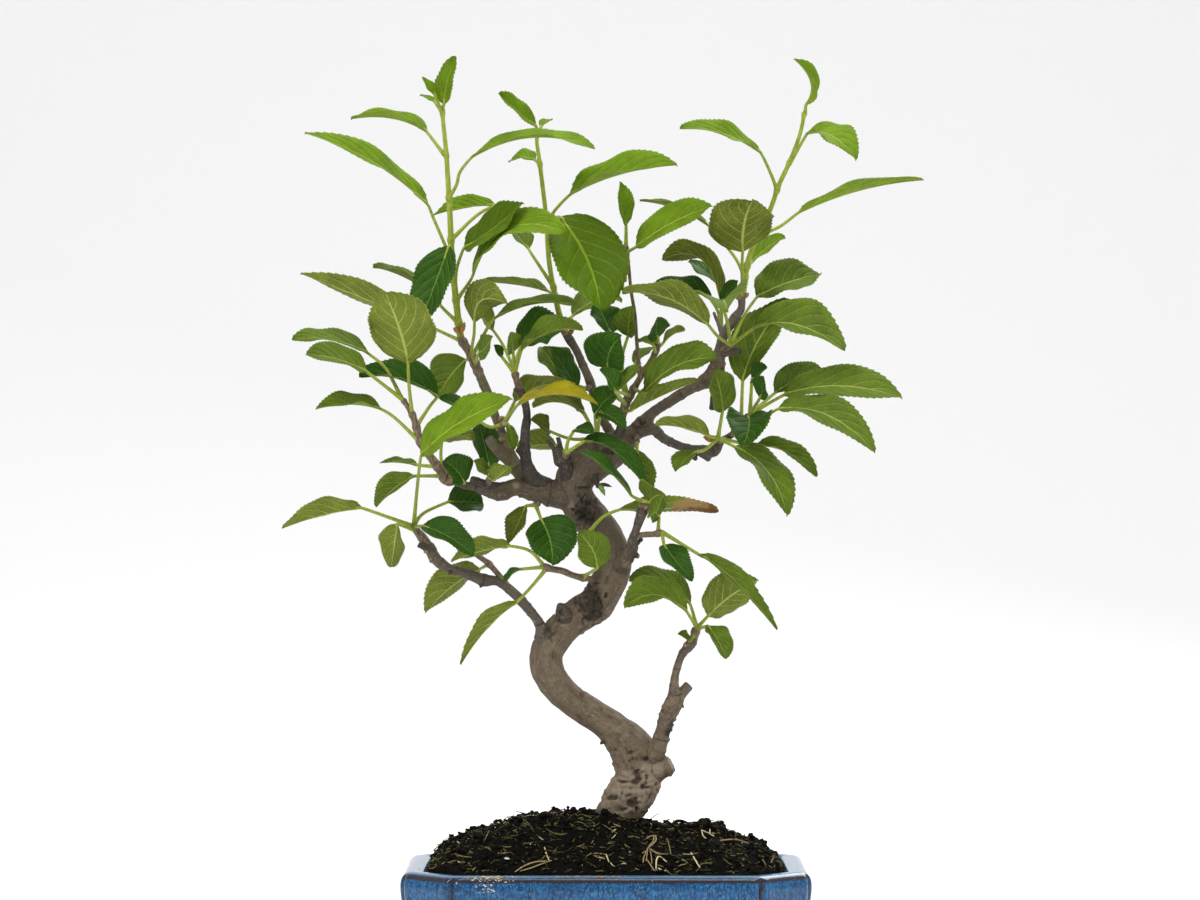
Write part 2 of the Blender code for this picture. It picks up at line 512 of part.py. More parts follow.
def place(x, y, depth):
    """The point in metres seen at a picture pixel, at a depth in millimetres."""
    reach = PIXEL * (VIEW_DISTANCE + depth * MM) / VIEW_DISTANCE
    return Vector((
        VIEW_X + (x - VIEW_MIDDLE[0]) * reach,
        depth * MM,
        VIEW_Z + (VIEW_MIDDLE[1] - y) * reach,
    ))


def material(name, colour, roughness):
    made = bpy.data.materials.new(name)
    made.use_nodes = True
    shader = made.node_tree.nodes["Principled BSDF"]
    shader.inputs["Base Color"].default_value = colour
    shader.inputs["Roughness"].default_value = roughness
    made.diffuse_color = colour
    return made


def object_of(mesh, name, collection, finish):
    made = bpy.data.objects.new(name, mesh)
    collection.objects.link(made)
    if finish and not mesh.materials:
        mesh.materials.append(finish)
    return made


def mesh_of(bm, name):
    mesh = bpy.data.meshes.new(name)
    bm.to_mesh(mesh)
    bm.free()
    return mesh


def settle(obj):
    """Applies the object's modifiers and returns the object as a plain mesh."""
    bpy.context.view_layer.update()
    graph = bpy.context.evaluated_depsgraph_get()
    mesh = bpy.data.meshes.new_from_object(obj.evaluated_get(graph))
    old = obj.data
    if obj.type == "MESH":
        obj.modifiers.clear()
        obj.data = mesh
        bpy.data.meshes.remove(old)
        return obj
    name = obj.name
    collection = obj.users_collection[0]
    bpy.data.objects.remove(obj)
    return object_of(mesh, name, collection, None)


def tidy(obj):
    """Welds a body's seams and drops every loose scrap but the largest piece."""
    bm = bmesh.new()
    bm.from_mesh(obj.data)
    bmesh.ops.remove_doubles(bm, verts=bm.verts, dist=WELD)
    bmesh.ops.dissolve_degenerate(bm, edges=bm.edges, dist=WELD)
    left = set(bm.verts)
    pieces = []
    while left:
        piece = {left.pop()}
        unseen = list(piece)
        while unseen:
            vertex = unseen.pop()
            for edge in vertex.link_edges:
                other = edge.other_vert(vertex)
                if other in left:
                    left.discard(other)
                    piece.add(other)
                    unseen.append(other)
        pieces.append(piece)
    pieces.sort(key=len, reverse=True)
    for scrap in pieces[1:]:
        bmesh.ops.delete(bm, geom=list(scrap), context="VERTS")
    bmesh.ops.triangulate(bm, faces=bm.faces)
    bm.to_mesh(obj.data)
    bm.free()


def tube(points, name, collection, finish, swell=0.0, tip=0.0):
    """A limb: a curve through its points, with each point's own radius, as a closed mesh.

    A swell makes it fatter and longer all round, and a tip carries its far end on.
    """
    curve = bpy.data.curves.new(name, "CURVE")
    curve.dimensions = "3D"
    curve.bevel_depth = PIXEL
    widest = max(radius for _, _, radius, _ in points)
    curve.bevel_resolution = 2 if widest > THICK_LIMB else 1
    curve.use_fill_caps = True
    spline = curve.splines.new("POLY")
    spline.points.add(len(points) - 1)
    line = [place(x, y, depth) for x, y, _, depth in points]
    line[0] += (line[0] - line[1]).normalized() * swell
    line[-1] += (line[-1] - line[-2]).normalized() * (swell + tip)
    for knot, spot, (_, _, radius, _) in zip(spline.points, line, points):
        knot.co = (*spot, 1)
        knot.radius = radius + swell / PIXEL
    made = bpy.data.objects.new(name, curve)
    collection.objects.link(made)
    made = settle(made)
    made.data.materials.append(finish)
    bm = bmesh.new()
    bm.from_mesh(made.data)
    bmesh.ops.remove_doubles(bm, verts=bm.verts, dist=WELD)
    bmesh.ops.recalc_face_normals(bm, faces=bm.faces)
    bm.to_mesh(made.data)
    bm.free()
    return made


def join(base, others):
    """One Boolean union of the base with a collection of others, which is then removed."""
    modifier = base.modifiers.new("join", "BOOLEAN")
    modifier.operation = "UNION"
    modifier.operand_type = "COLLECTION"
    modifier.collection = others
    modifier.solver = "MANIFOLD"
    base = settle(base)
    for used in list(others.objects):
        bpy.data.objects.remove(used)
    bpy.data.collections.remove(others)
    return base


def subtract(base, cutter):
    modifier = base.modifiers.new("cut", "BOOLEAN")
    modifier.operation = "DIFFERENCE"
    modifier.object = cutter
    modifier.solver = "MANIFOLD"
    return settle(base)


def new_collection(name):
    made = bpy.data.collections.new(name)
    bpy.context.scene.collection.children.link(made)
    return made


def limbs(name, collection, finish, swell=0.0):
    """The trunk with every branch, joined; a swell makes it fatter all over."""
    base = tube(TRUNK, name, collection, finish, swell)
    others = new_collection(name + " branches")
    for branch, points in BRANCHES.items():
        tube(points, branch, others, finish, swell)
    base = join(base, others)
    tidy(base)
    return base


def stem_depth(stems, x, y):
    """The depth of the nearest point of a spray's stems to a picture pixel."""
    best = (math.inf, 0.0)
    spot = np.array((x, y), float)
    for stem in stems:
        for (x0, y0, _, d0), (x1, y1, _, d1) in zip(stem, stem[1:]):
            run = np.array((x1 - x0, y1 - y0), float)
            share = float(np.clip(np.dot(spot - (x0, y0), run) / np.dot(run, run), 0, 1))
            away = float(np.linalg.norm(spot - (x0, y0) - share * run))
            best = min(best, (away, d0 + share * (d1 - d0)))
    return best[1]


def leaf_rows(leaf, stems, number, shift):
    """A leaf's rows from stalk to tip: (middle, side, up, half width, fold, wave) each."""
    stalk, blade, half_width, face, (base_depth, tip_depth), _ = leaf
    base_depth += shift[0]
    tip_depth += shift[1]
    root_depth = stem_depth(stems, *stalk[0])
    stalk_points = []
    for i, (x, y) in enumerate(stalk):
        stalk_points.append(place(x, y, root_depth + (base_depth - root_depth) * i / len(stalk)))
    base = place(*blade[0], base_depth)
    tip = place(*blade[-1], tip_depth)
    middle = place(*blade[1], (base_depth + tip_depth) / 2)
    control = 2 * middle - (base + tip) / 2
    steps = BLADE_STEPS if half_width > SMALL_LEAF else SMALL_BLADE_STEPS
    centres = stalk_points + [
        (1 - u) ** 2 * base + 2 * u * (1 - u) * control + u * u * tip for u in steps
    ]
    tangents = [
        (centres[min(i + 1, len(centres) - 1)] - centres[max(i - 1, 0)]).normalized()
        for i in range(len(centres))
    ]
    front = Vector((0, -1, 0))
    along = (tip - base).normalized()
    toward = (front - along * along.dot(front)).normalized()
    upward = along.cross(toward)
    if upward.z < 0:
        upward.negate()
    turn = math.radians(face)
    up_side = math.cos(turn) * toward + math.sin(turn) * upward
    fold = math.radians(FOLD_MIDDLE + FOLD_SWING * math.sin(number * FOLD_STEP))
    rows = []
    for i, (centre, tangent) in enumerate(zip(centres, tangents)):
        up = (up_side - tangent * tangent.dot(up_side)).normalized()
        side = tangent.cross(up)
        row = i - len(stalk_points)
        if row <= 0:
            rows.append((centre, side, up, STALK_HALF_WIDTH, 0.0, 0.0))
            continue
        u = steps[row]
        width = half_width * PIXEL * blade_shape(u)
        width *= 1 + (TOOTH if row % 2 else -TOOTH)
        wave = WAVE * half_width * PIXEL * math.sin(WAVE_STEP * row + number)
        rows.append((centre, side, up, max(width, STALK_HALF_WIDTH * 0.5), fold, wave))
    return rows


def blade_shape(u):
    """An oval blade's half width along its midrib, 1 at its widest, drawn out to a point."""
    if not 0 < u < 1:
        return 0.0
    return u ** BLADE_FOOT * (1 - u) ** BLADE_POINT * BLADE_SCALE


def leaf_sheet(rows, widen=0.0):
    """The leaf as a sheet of triangles: left edge, midrib and right edge to a row, then the tip."""
    points = []
    for centre, side, up, half_width, fold, wave in rows[:-1]:
        reach = (half_width + widen) * math.cos(fold)
        lift = half_width * math.sin(fold)
        points.append(centre - side * reach + up * (lift + wave))
        points.append(centre)
        points.append(centre + side * reach + up * (lift - wave))
    tip = len(points)
    points.append(rows[-1][0])
    triangles = [(tip - 3, tip - 2, tip), (tip - 2, tip - 1, tip)]
    for a in range(0, tip - 3, 3):
        triangles += [(a, a + 1, a + 3), (a + 1, a + 4, a + 3)]
        triangles += [(a + 1, a + 2, a + 4), (a + 2, a + 5, a + 4)]
    return points, triangles


def slab_tree(rows):
    """A search tree of a thick test slab round a leaf's sheet."""
    points, triangles = leaf_sheet(rows, CLEAR_REACH / 2)
    ups = [row[2] for row in rows for _ in range(3)][:len(points)]
    upper = [point + up * CLEAR_REACH for point, up in zip(points, ups)]
    lower = [point - up * CLEAR_REACH for point, up in zip(points, ups)]
    count = len(points)
    faces = triangles + [tuple(count + corner for corner in face) for face in triangles]
    for a in range(count - 4):
        faces.append((a, a + 3, count + a + 3, count + a))
    return BVHTree.FromPolygons(upper + lower, faces)


def sheet_tree(rows):
    points, triangles = leaf_sheet(rows)
    return BVHTree.FromPolygons(points, triangles)


def past_root(rows):
    """The rows with the first stretch of the stalk, which grows into its stem, left off."""
    first, second = rows[0], rows[1]
    start = first[0].lerp(second[0], ROOT_SHARE)
    return [(start, *first[1:])] + rows[1:]


def shifts():
    """Changes of base and tip depth to try, the smallest first."""
    tried = [(b, t) for b in BASE_SHIFTS for t in TIP_SHIFTS]
    return sorted(tried, key=lambda s: (2 * abs(s[0]) + abs(s[1]), s))


def clear_rows(leaf, stems, number, owner, placed):
    """The leaf's rows at the first shift that keeps it clear of all that stands already."""
    stalk_count = len(leaf[0])
    fewest = None
    for shift in shifts():
        rows = leaf_rows(leaf, stems, number, shift)
        if max(abs(row[0].y) for row in rows) > DEEPEST * MM:
            continue
        whole = slab_tree(past_root(rows))
        blade = slab_tree(rows[stalk_count:])
        touched = 0
        for other_owner, other_whole, other_blade in placed:
            if other_owner == owner:
                touched += bool(blade.overlap(other_blade))
            else:
                touched += OTHER_SPRAY_WEIGHT * bool(whole.overlap(other_whole))
        if fewest is None or touched < fewest[0]:
            fewest = (touched, rows)
        if touched == 0:
            break
    rows = fewest[1]
    placed.append((owner, sheet_tree(rows), sheet_tree(rows[stalk_count:])))
    return rows


def leaf_solid(rows, name, collection, finish):
    points, triangles = leaf_sheet(rows)
    mesh = bpy.data.meshes.new(name)
    mesh.from_pydata(points, [], triangles)
    made = object_of(mesh, name, collection, finish)
    shell = made.modifiers.new("thickness", "SOLIDIFY")
    shell.thickness = LEAF_THICKNESS
    shell.offset = 0
    made = settle(made)
    bm = bmesh.new()
    bm.from_mesh(made.data)
    bmesh.ops.triangulate(bm, faces=bm.faces)
    bmesh.ops.recalc_face_normals(bm, faces=bm.faces)
    bm.to_mesh(made.data)
    bm.free()
    return made


def pot_outline(inset, notch):
    """A chamfered rectangle, anticlockwise, with a groove of the notch's depth at each corner."""
    half_length = POT_LENGTH / 2 - inset
    half_width = POT_WIDTH / 2 - inset
    chamfer = POT_CHAMFER - inset * (2 - math.sqrt(2))
    quarter = [(half_length, half_width - chamfer), (half_length - chamfer, half_width)]
    corners = quarter + [(-x, y) for x, y in reversed(quarter)]
    corners += [(-x, -y) for x, y in corners]
    outline = []
    for i, corner in enumerate(corners):
        here = Vector(corner)
        before = (Vector(corners[i - 1]) - here).normalized() * GROOVE_WIDTH / 2
        after = (Vector(corners[(i + 1) % len(corners)]) - here).normalized() * GROOVE_WIDTH / 2
        inward = (before + after).normalized()
        outline += [here + before, here + inward * notch, here + after]
    return outline


def loft(profile, name, collection, finish):
    """A closed body through pot outlines; the profile is (height, inset, groove depth) each."""
    bm = bmesh.new()
    height, inset, notch = profile[0]
    ring = [bm.verts.new((*spot, height)) for spot in pot_outline(inset, notch)]
    bm.faces.new(reversed(ring))
    edges = list(bm.edges)
    for height, inset, notch in profile[1:]:
        grown = bmesh.ops.extrude_edge_only(bm, edges=edges)["geom"]
        edges = [item for item in grown if isinstance(item, bmesh.types.BMEdge)]
        fresh = {item for item in grown if isinstance(item, bmesh.types.BMVert)}
        spots = pot_outline(inset, notch)
        ordered = []
        for old in ring:
            ordered += [e.other_vert(old) for e in old.link_edges if e.other_vert(old) in fresh]
        for vertex, spot in zip(ordered, spots):
            vertex.co = (*spot, height)
        ring = ordered
    bm.faces.new(ring)
    bmesh.ops.recalc_face_normals(bm, faces=bm.faces)
    return object_of(mesh_of(bm, name), name, collection, finish)


def build_pot(finish):
    inside = [(height, inset, 0) for height, inset in INSIDE_WALL]
    pot = loft(OUTER_WALL + inside, "pot", tree, finish)
    feet = new_collection("pot feet")
    for across in (-1, 1):
        for along in (-1, 1):
            bm = bmesh.new()
            bmesh.ops.create_cube(bm, size=1)
            tall = FOOT_HEIGHT + FOOT_SINK
            bmesh.ops.scale(bm, vec=(FOOT_LENGTH, FOOT_WIDTH, tall), verts=bm.verts)
            spot = (across * FOOT_PLACE[0], along * FOOT_PLACE[1], tall / 2)
            bmesh.ops.translate(bm, vec=spot, verts=bm.verts)
            upright = [e for e in bm.edges if abs(e.verts[0].co.z - e.verts[1].co.z) > tall / 2]
            bmesh.ops.bevel(
                bm, geom=upright, offset=FOOT_ROUND, segments=2, profile=0.5, affect="EDGES"
            )
            object_of(mesh_of(bm, "foot"), "foot", feet, finish)
    pot = join(pot, feet)
    for side in (-1, 1):
        bm = bmesh.new()
        bmesh.ops.create_cone(
            bm, cap_ends=True, segments=DRAIN_SIDES, radius1=DRAIN_RADIUS, radius2=DRAIN_RADIUS,
            depth=4 * FLOOR_HEIGHT,
        )
        bmesh.ops.translate(bm, vec=(side * DRAIN_PLACE, 0, 0), verts=bm.verts)
        drain = object_of(mesh_of(bm, "drain"), "drain_cutter", cutters, None)
        pot = subtract(pot, drain)
        as_cutter(drain)
    tidy(pot)
    return pot


def as_cutter(obj):
    obj.hide_render = True
    obj.display_type = "WIRE"


def soil_height(x, y, noise):
    """A ridge that falls to the wall at either side and end, with crumbs and hollows on it."""
    knots = [place(px, py, 0) for px, py in SOIL_RIDGE]
    ridge = float(np.interp(x, [k.x for k in knots], [k.z for k in knots]))
    inside_width = POT_WIDTH / 2 - RIM_WIDTH
    inside_length = POT_LENGTH / 2 - RIM_WIDTH
    across = max(0.0, 1 - (abs(y) / inside_width) ** SOIL_FALL)
    ends = min(1.0, max(0.0, (inside_length - abs(x)) / SOIL_END_RUN)) ** SOIL_END_FALL
    swell = SWELL * math.sin(SWELL_X[0] * x + SWELL_X[1]) * math.sin(SWELL_Y[0] * y + SWELL_Y[1])
    return SOIL_EDGE + (ridge - SOIL_EDGE) * across * ends + swell + SOIL_CRUMB * noise


def build_soil(finish, socket):
    bm = bmesh.new()
    bmesh.ops.create_grid(bm, x_segments=SOIL_GRID[0], y_segments=SOIL_GRID[1], size=1)
    draw = np.random.default_rng(SOIL_SEED)
    for vertex, noise in zip(bm.verts, draw.uniform(-1, 1, len(bm.verts))):
        x = vertex.co.x * POT_LENGTH / 2
        y = vertex.co.y * POT_WIDTH / 2
        vertex.co = (x, y, soil_height(x, y, noise))
    bottom = bmesh.ops.extrude_face_region(bm, geom=bm.faces[:])["geom"]
    for item in bottom:
        if isinstance(item, bmesh.types.BMVert):
            item.co.z = 0
    bmesh.ops.triangulate(bm, faces=bm.faces)
    bmesh.ops.recalc_face_normals(bm, faces=bm.faces)
    soil = object_of(mesh_of(bm, "soil"), "soil", tree, finish)
    walls = [(height, inset + GAP, 0) for height, inset in reversed(INSIDE_WALL[:-1])]
    floor_height, floor_inset = INSIDE_WALL[-1]
    walls.insert(0, (floor_height + GAP, floor_inset + GAP, 0))
    walls.append((2 * POT_HEIGHT, RIM_WIDTH + GAP, 0))
    inside = loft(walls, "soil_shape", cutters, None)
    modifier = soil.modifiers.new("inside", "BOOLEAN")
    modifier.operation = "INTERSECT"
    modifier.object = inside
    modifier.solver = "EXACT"
    soil = settle(soil)
    as_cutter(inside)
    soil = subtract(soil, socket)
    tidy(soil)
    return soil


def build_spray(name, spray, rows_of_leaves, finishes, socket):
    base = None
    others = new_collection(name + " leaves")
    for i, points in enumerate(spray["stems"]):
        into = tree if base is None else others
        part_name = name if base is None else f"{name} stem {i}"
        made = tube(points, part_name, into, finishes["stem"], tip=BUD_TIP)
        base = base or made
    for i, rows in enumerate(rows_of_leaves):
        leaf_solid(rows, f"{name} leaf {i}", others, finishes[spray["leaves"][i][-1]])
    base = join(base, others)
    base = subtract(base, socket)
    tidy(base)
    return base


def build():
    finishes = {
        tone: material("leaf " + tone, colour, LEAF_ROUGHNESS) for tone, colour in TONES.items()
    }
    stem, bark, glaze, peat = [material(name, *look) for name, look in BODIES.items()]
    finishes["stem"] = stem

    wood = limbs("wood", tree, bark)
    socket = limbs("wood_socket", cutters, bark, GAP)
    build_pot(glaze)
    build_soil(peat, socket)

    bm = bmesh.new()
    bm.from_mesh(wood.data)
    wood_tree = BVHTree.FromBMesh(bm)
    bm.free()
    placed = [("wood", wood_tree, None)]
    for name, spray in SPRAYS.items():
        for points in spray["stems"]:
            probe = tube(points, "probe", cutters, bark, tip=BUD_TIP)
            bm = bmesh.new()
            bm.from_mesh(probe.data)
            stem_tree = BVHTree.FromBMesh(bm)
            bm.free()
            bpy.data.objects.remove(probe)
            placed.append((name, stem_tree, stem_tree))
    number = 0
    rows_by_spray = {}
    for name, spray in SPRAYS.items():
        rows_by_spray[name] = []
        for leaf in spray["leaves"]:
            rows_by_spray[name].append(clear_rows(leaf, spray["stems"], number, name, placed))
            number += 1
    for name, spray in SPRAYS.items():
        build_spray(name, spray, rows_by_spray[name], finishes, socket)
    as_cutter(socket)
    for obj in tree.objects:
        obj.data.shade_smooth()
        obj.data.set_sharp_from_angle(angle=math.radians(SHARP_DEGREES))


for old in list(bpy.data.objects):
    bpy.data.objects.remove(old)
tree = new_collection("Crabapple bonsai")
cutters = new_collection("Cutters")
build()
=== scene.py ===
# A crabapple bonsai in a blue glazed pot: leaves, bark, soil and glaze laid over the measured model.
import math
import bmesh
import bpy
import numpy as np
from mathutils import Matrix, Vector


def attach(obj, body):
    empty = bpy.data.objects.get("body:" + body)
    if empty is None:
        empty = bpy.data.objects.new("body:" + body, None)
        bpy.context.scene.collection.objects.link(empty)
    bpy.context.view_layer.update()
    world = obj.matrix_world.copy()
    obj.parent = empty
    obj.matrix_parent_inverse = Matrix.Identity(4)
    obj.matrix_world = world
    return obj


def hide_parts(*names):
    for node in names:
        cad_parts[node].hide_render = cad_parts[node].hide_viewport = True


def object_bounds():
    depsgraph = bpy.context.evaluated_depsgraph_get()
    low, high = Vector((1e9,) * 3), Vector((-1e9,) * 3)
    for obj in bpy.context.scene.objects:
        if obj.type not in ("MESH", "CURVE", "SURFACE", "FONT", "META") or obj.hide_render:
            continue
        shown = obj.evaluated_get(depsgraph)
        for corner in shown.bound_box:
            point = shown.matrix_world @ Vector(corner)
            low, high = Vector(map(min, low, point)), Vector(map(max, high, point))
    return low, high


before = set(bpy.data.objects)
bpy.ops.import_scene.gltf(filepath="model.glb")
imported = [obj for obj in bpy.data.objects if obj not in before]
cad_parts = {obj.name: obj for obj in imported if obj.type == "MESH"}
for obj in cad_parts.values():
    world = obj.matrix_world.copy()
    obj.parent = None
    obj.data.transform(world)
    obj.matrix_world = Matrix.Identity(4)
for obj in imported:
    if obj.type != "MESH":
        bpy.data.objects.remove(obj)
cadBox = [list(corner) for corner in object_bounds()]
mm = 0.001

weldGap = 0.001 * mm

view = {  # the tree is laid out in pixels of this level view, and in mm of depth
    "pixel": 0.200 / 394,      # the pot's 200 mm rim is 394 pixels long
    "distance": 2.2,
    "x": -0.003,
    "z": 0.2696,
    "width": 1200,
    "height": 900,
    "sensor": 36,
    "farthest": 50,
}


def place(x, y, depth):
    # a pixel and a depth in mm as a point in metres: the picture's scale grows with distance
    x, y, depth = (np.asarray(value, float) for value in (x, y, depth))
    scale = view["pixel"] * (view["distance"] + depth * mm) / view["distance"]
    return np.stack([
        view["x"] + (x - view["width"] / 2) * scale,
        depth * mm + 0 * x,
        view["z"] + (view["height"] / 2 - y) * scale,
    ], -1)


def setCamera():
    # a level camera; its lens in mm is the sensor's width x distance / width of the view
    lens = bpy.data.cameras.new("camera")
    lens.sensor_width = view["sensor"]
    lens.lens = lens.sensor_width * view["distance"] / (view["width"] * view["pixel"])
    lens.clip_end = view["farthest"]
    camera = bpy.data.objects.new("camera", lens)
    camera.location = (view["x"], -view["distance"], view["z"])
    camera.rotation_euler = (math.pi / 2, 0, 0)
    bpy.context.scene.collection.objects.link(camera)
    bpy.context.scene.camera = camera
    bpy.context.scene.view_settings.view_transform = "Standard"


studio = {
    "world": 0.70,
    "floorColour": (0.90, 0.90, 0.90),
    "floorRough": 0.9,
    "halfWidth": 6,
    "front": -4,
    "bend": 1.6,               # where the floor starts to rise, and the radius of its rise
    "wallTop": 7,
    "aim": (0, 0, 0.28),       # the middle of the crown
    "lights": {  # place, size, power
        "key": ((-1.1, -1.5, 1.9), 0.9, 30),
        "fill": ((1.6, -1.4, 0.8), 1.4, 8),
        "top": ((0.3, 0.2, 2.2), 1.1, 26),
        "back": ((0.8, 1.2, 1.2), 1.0, 16),
    },
}


def setStudio():
    # lamps that face the aim point, and a floor that rises into a far wall in a quarter round
    world = bpy.data.worlds.new("studio")
    world.use_nodes = True
    world.node_tree.nodes["Background"].inputs["Color"].default_value = (1, 1, 1, 1)
    world.node_tree.nodes["Background"].inputs["Strength"].default_value = studio["world"]
    bpy.context.scene.world = world
    for name, (spot, size, power) in studio["lights"].items():
        lamp = bpy.data.lights.new(name, "AREA")
        lamp.size = size
        lamp.energy = power
        light = bpy.data.objects.new(name, lamp)
        light.location = spot
        away = np.array(spot) - studio["aim"]
        light.rotation_euler = (
            math.acos(away[2] / np.linalg.norm(away)), 0, math.atan2(away[0], -away[1])
        )
        bpy.context.scene.collection.objects.link(light)
    across = np.linspace(-studio["halfWidth"], studio["halfWidth"], 3)
    turn = np.linspace(0, math.pi / 2, 24)
    radius = studio["bend"]
    run = np.concatenate([[studio["front"], 0], radius + radius * np.sin(turn), [2 * radius]])
    rise = np.concatenate([[0, 0], radius - radius * np.cos(turn), [studio["wallTop"]]])
    points = np.stack(np.broadcast_arrays(across[None, :], run[:, None], rise[:, None]), -1)
    paper = plainMaterial("paper", studio["floorColour"], studio["floorRough"])
    floor = makePiece("floor", [gridPart(points)], [paper], inBox=False)


def gridFaces(rows, columns, closed=False):
    # quads of a grid of points, row by row; a closed grid joins its last column to its first
    row = np.arange(rows - 1)[:, None] * columns
    first = np.arange(columns if closed else columns - 1)[None, :]
    second = (first + 1) % columns
    quads = np.stack([row + first, row + second, row + columns + second, row + columns + first], -1)
    return quads.reshape(-1, 4)


def gridPart(points, closed=False, tone=0, **marks):
    # a grid of points as one part, with each mark spread over it
    rows, columns = points.shape[:2]
    part = {"points": points.reshape(-1, 3), "faces": gridFaces(rows, columns, closed), "tone": tone}
    part.update({name: np.broadcast_to(value, (rows, columns)).reshape(-1)
                 for name, value in marks.items()})
    return part


def makePiece(name, parts, materials, marks=(), inBox=True, weld=False):
    # one mesh from many parts: each has points, quads (a triangle repeats its last corner) and a tone
    points = np.concatenate([part["points"] for part in parts])
    if inBox:
        points = np.clip(points, *np.array(cadBox))  # no tip stands out of the model's box
    starts = np.cumsum([0] + [len(part["points"]) for part in parts[:-1]])
    quads = np.concatenate([part["faces"] + start for part, start in zip(parts, starts)])
    tones = np.concatenate([
        np.broadcast_to(part["tone"], len(part["faces"])) for part in parts
    ]).astype(np.int32)
    isTriangle = quads[:, 2] == quads[:, 3]
    sizes = np.where(isTriangle, 3, 4)
    corners = quads[np.arange(4)[None, :] < sizes[:, None]]
    mesh = bpy.data.meshes.new(name)
    mesh.vertices.add(len(points))
    mesh.vertices.foreach_set("co", points.astype(np.float32).ravel())
    mesh.loops.add(len(corners))
    mesh.loops.foreach_set("vertex_index", corners.astype(np.int32))
    mesh.polygons.add(len(quads))
    mesh.polygons.foreach_set("loop_start", (np.cumsum(sizes) - sizes).astype(np.int32))
    mesh.polygons.foreach_set("material_index", tones)
    for material in materials:
        mesh.materials.append(material)
    for mark in marks:
        values = np.concatenate([
            np.broadcast_to(part.get(mark, 0.0), len(part["points"])) for part in parts
        ]).astype(np.float32)
        mesh.attributes.new(mark, "FLOAT", "POINT").data.foreach_set("value", values)
    mesh.update(calc_edges=True)
    mesh.validate()
    if weld:
        seams = bmesh.new()
        seams.from_mesh(mesh)
        bmesh.ops.remove_doubles(seams, verts=seams.verts, dist=weldGap)
        seams.to_mesh(mesh)
        seams.free()
    mesh.shade_smooth()
    made = bpy.data.objects.new(name, mesh)
    bpy.context.scene.collection.objects.link(made)
    return made


mixing = {"axes": (73856093, 19349663, 83492791), "seed": 2654435761, "again": 1274126177}


def latticeNoise(points, size, seed=0):
    # smooth noise from -1 to 1: random values at the corners of cells, blended across each cell
    first, second, third = mixing["axes"]
    cell = np.floor(points / size)
    inner = points / size - cell
    blend = inner * inner * (3 - 2 * inner)
    cell = cell.astype(np.int64)
    total = np.zeros(len(points))
    for corner in np.ndindex(2, 2, 2):
        at = cell + np.array(corner)
        mixed = at[:, 0] * first ^ at[:, 1] * second ^ at[:, 2] * third ^ (seed + 7) * mixing["seed"]
        mixed = (mixed ^ (mixed >> 13)) * mixing["again"] & 0xFFFFFFFF
        mixed = (mixed ^ (mixed >> 16)) & 0xFFFF
        weight = np.prod(np.where(np.array(corner) == 1, blend, 1 - blend), axis=1)
        total += weight * (mixed / (0xFFFF / 2) - 1)
    return total


def smoothPath(knots, values, spacing):
    # a curve through all the knots (Catmull-Rom), with the values carried along it
    knots = np.asarray(knots, float)
    values = np.asarray(values, float)
    table = np.concatenate([knots, values.reshape(len(knots), -1)], 1)
    if len(table) < 3:
        table = np.stack([table[0], (table[0] + table[-1]) / 2, table[-1]])
    padded = np.concatenate([[2 * table[0] - table[1]], table, [2 * table[-1] - table[-2]]])
    made = []
    for i in range(len(table) - 1):
        a, b, c, d = padded[i:i + 4]
        count = max(2, int(np.linalg.norm((c - b)[:3]) / spacing) + 1)
        t = np.linspace(0, 1, count, endpoint=False)[:, None]
        made.append(0.5 * (2 * b + (c - a) * t + (2 * a - 5 * b + 4 * c - d) * t ** 2
                           + (3 * b - 3 * c + d - a) * t ** 3))
    made = np.concatenate(made + [table[-1:]])
    return made[:, :3], made[:, 3:]


def unit(vectors):
    # each vector divided by its length
    return vectors / np.maximum(np.linalg.norm(vectors, axis=-1, keepdims=True), 1e-12)


def bell(away, reach):
    # 1 at no distance, falling as e^-(distance / reach)^2
    return np.exp(-(away / reach) ** 2)


def meshPoints(mesh):
    # a mesh's points as rows of x, y and z
    points = np.empty(len(mesh.vertices) * 3, np.float32)
    mesh.vertices.foreach_get("co", points)
    return points.reshape(-1, 3)


def atHeights(flat, heights):
    # a grid of flat points with a height for all of it, for each row or for each point
    return np.concatenate([flat, np.broadcast_to(heights, flat.shape[:2])[..., None]], 2)


def pathFrame(path):
    # directions along the path, and two more square to it, from the axis it least follows
    along = unit(np.gradient(path, axis=0))
    spare = np.eye(3)[np.argmin(np.abs(along).mean(0))]
    side = unit(np.cross(along, spare))
    return along, side, np.cross(side, along)


def closedGrid(points, tone=0, **marks):
    # rings of points joined into a skin, with a fan to the middle of the first and the last ring
    rows, sides = points.shape[:2]
    here = np.arange(sides)
    following = (here + 1) % sides
    last = (rows - 1) * sides
    start, end = np.full(sides, rows * sides), np.full(sides, rows * sides + 1)
    faces = np.concatenate([
        gridFaces(rows, sides, closed=True),
        np.stack([following, here, start, start], 1),
        np.stack([last + here, last + following, end, end], 1),
    ])
    middles = np.stack([points[0].mean(0), points[-1].mean(0)])
    part = {"points": np.concatenate([points.reshape(-1, 3), middles]), "faces": faces, "tone": tone}
    for name, value in marks.items():
        value = np.asarray(value, float)
        value = np.broadcast_to(value[:, None] if value.ndim == 1 else value, (rows, sides))
        part[name] = np.concatenate([value.reshape(-1), value[0, :1], value[-1, :1]])
    return part


def roundAngles(count):
    # even angles round a circle
    return np.linspace(0, 2 * math.pi, count, endpoint=False)


def tubePart(path, radii, sides, tone=0, **marks):
    # a ring of points round each point of the path
    _, side, other = pathFrame(path)
    angle = roundAngles(sides)[None, :, None]
    ring = side[:, None] * np.cos(angle) - other[:, None] * np.sin(angle)
    return closedGrid(path[:, None] + ring * np.asarray(radii)[:, None, None], tone, **marks)


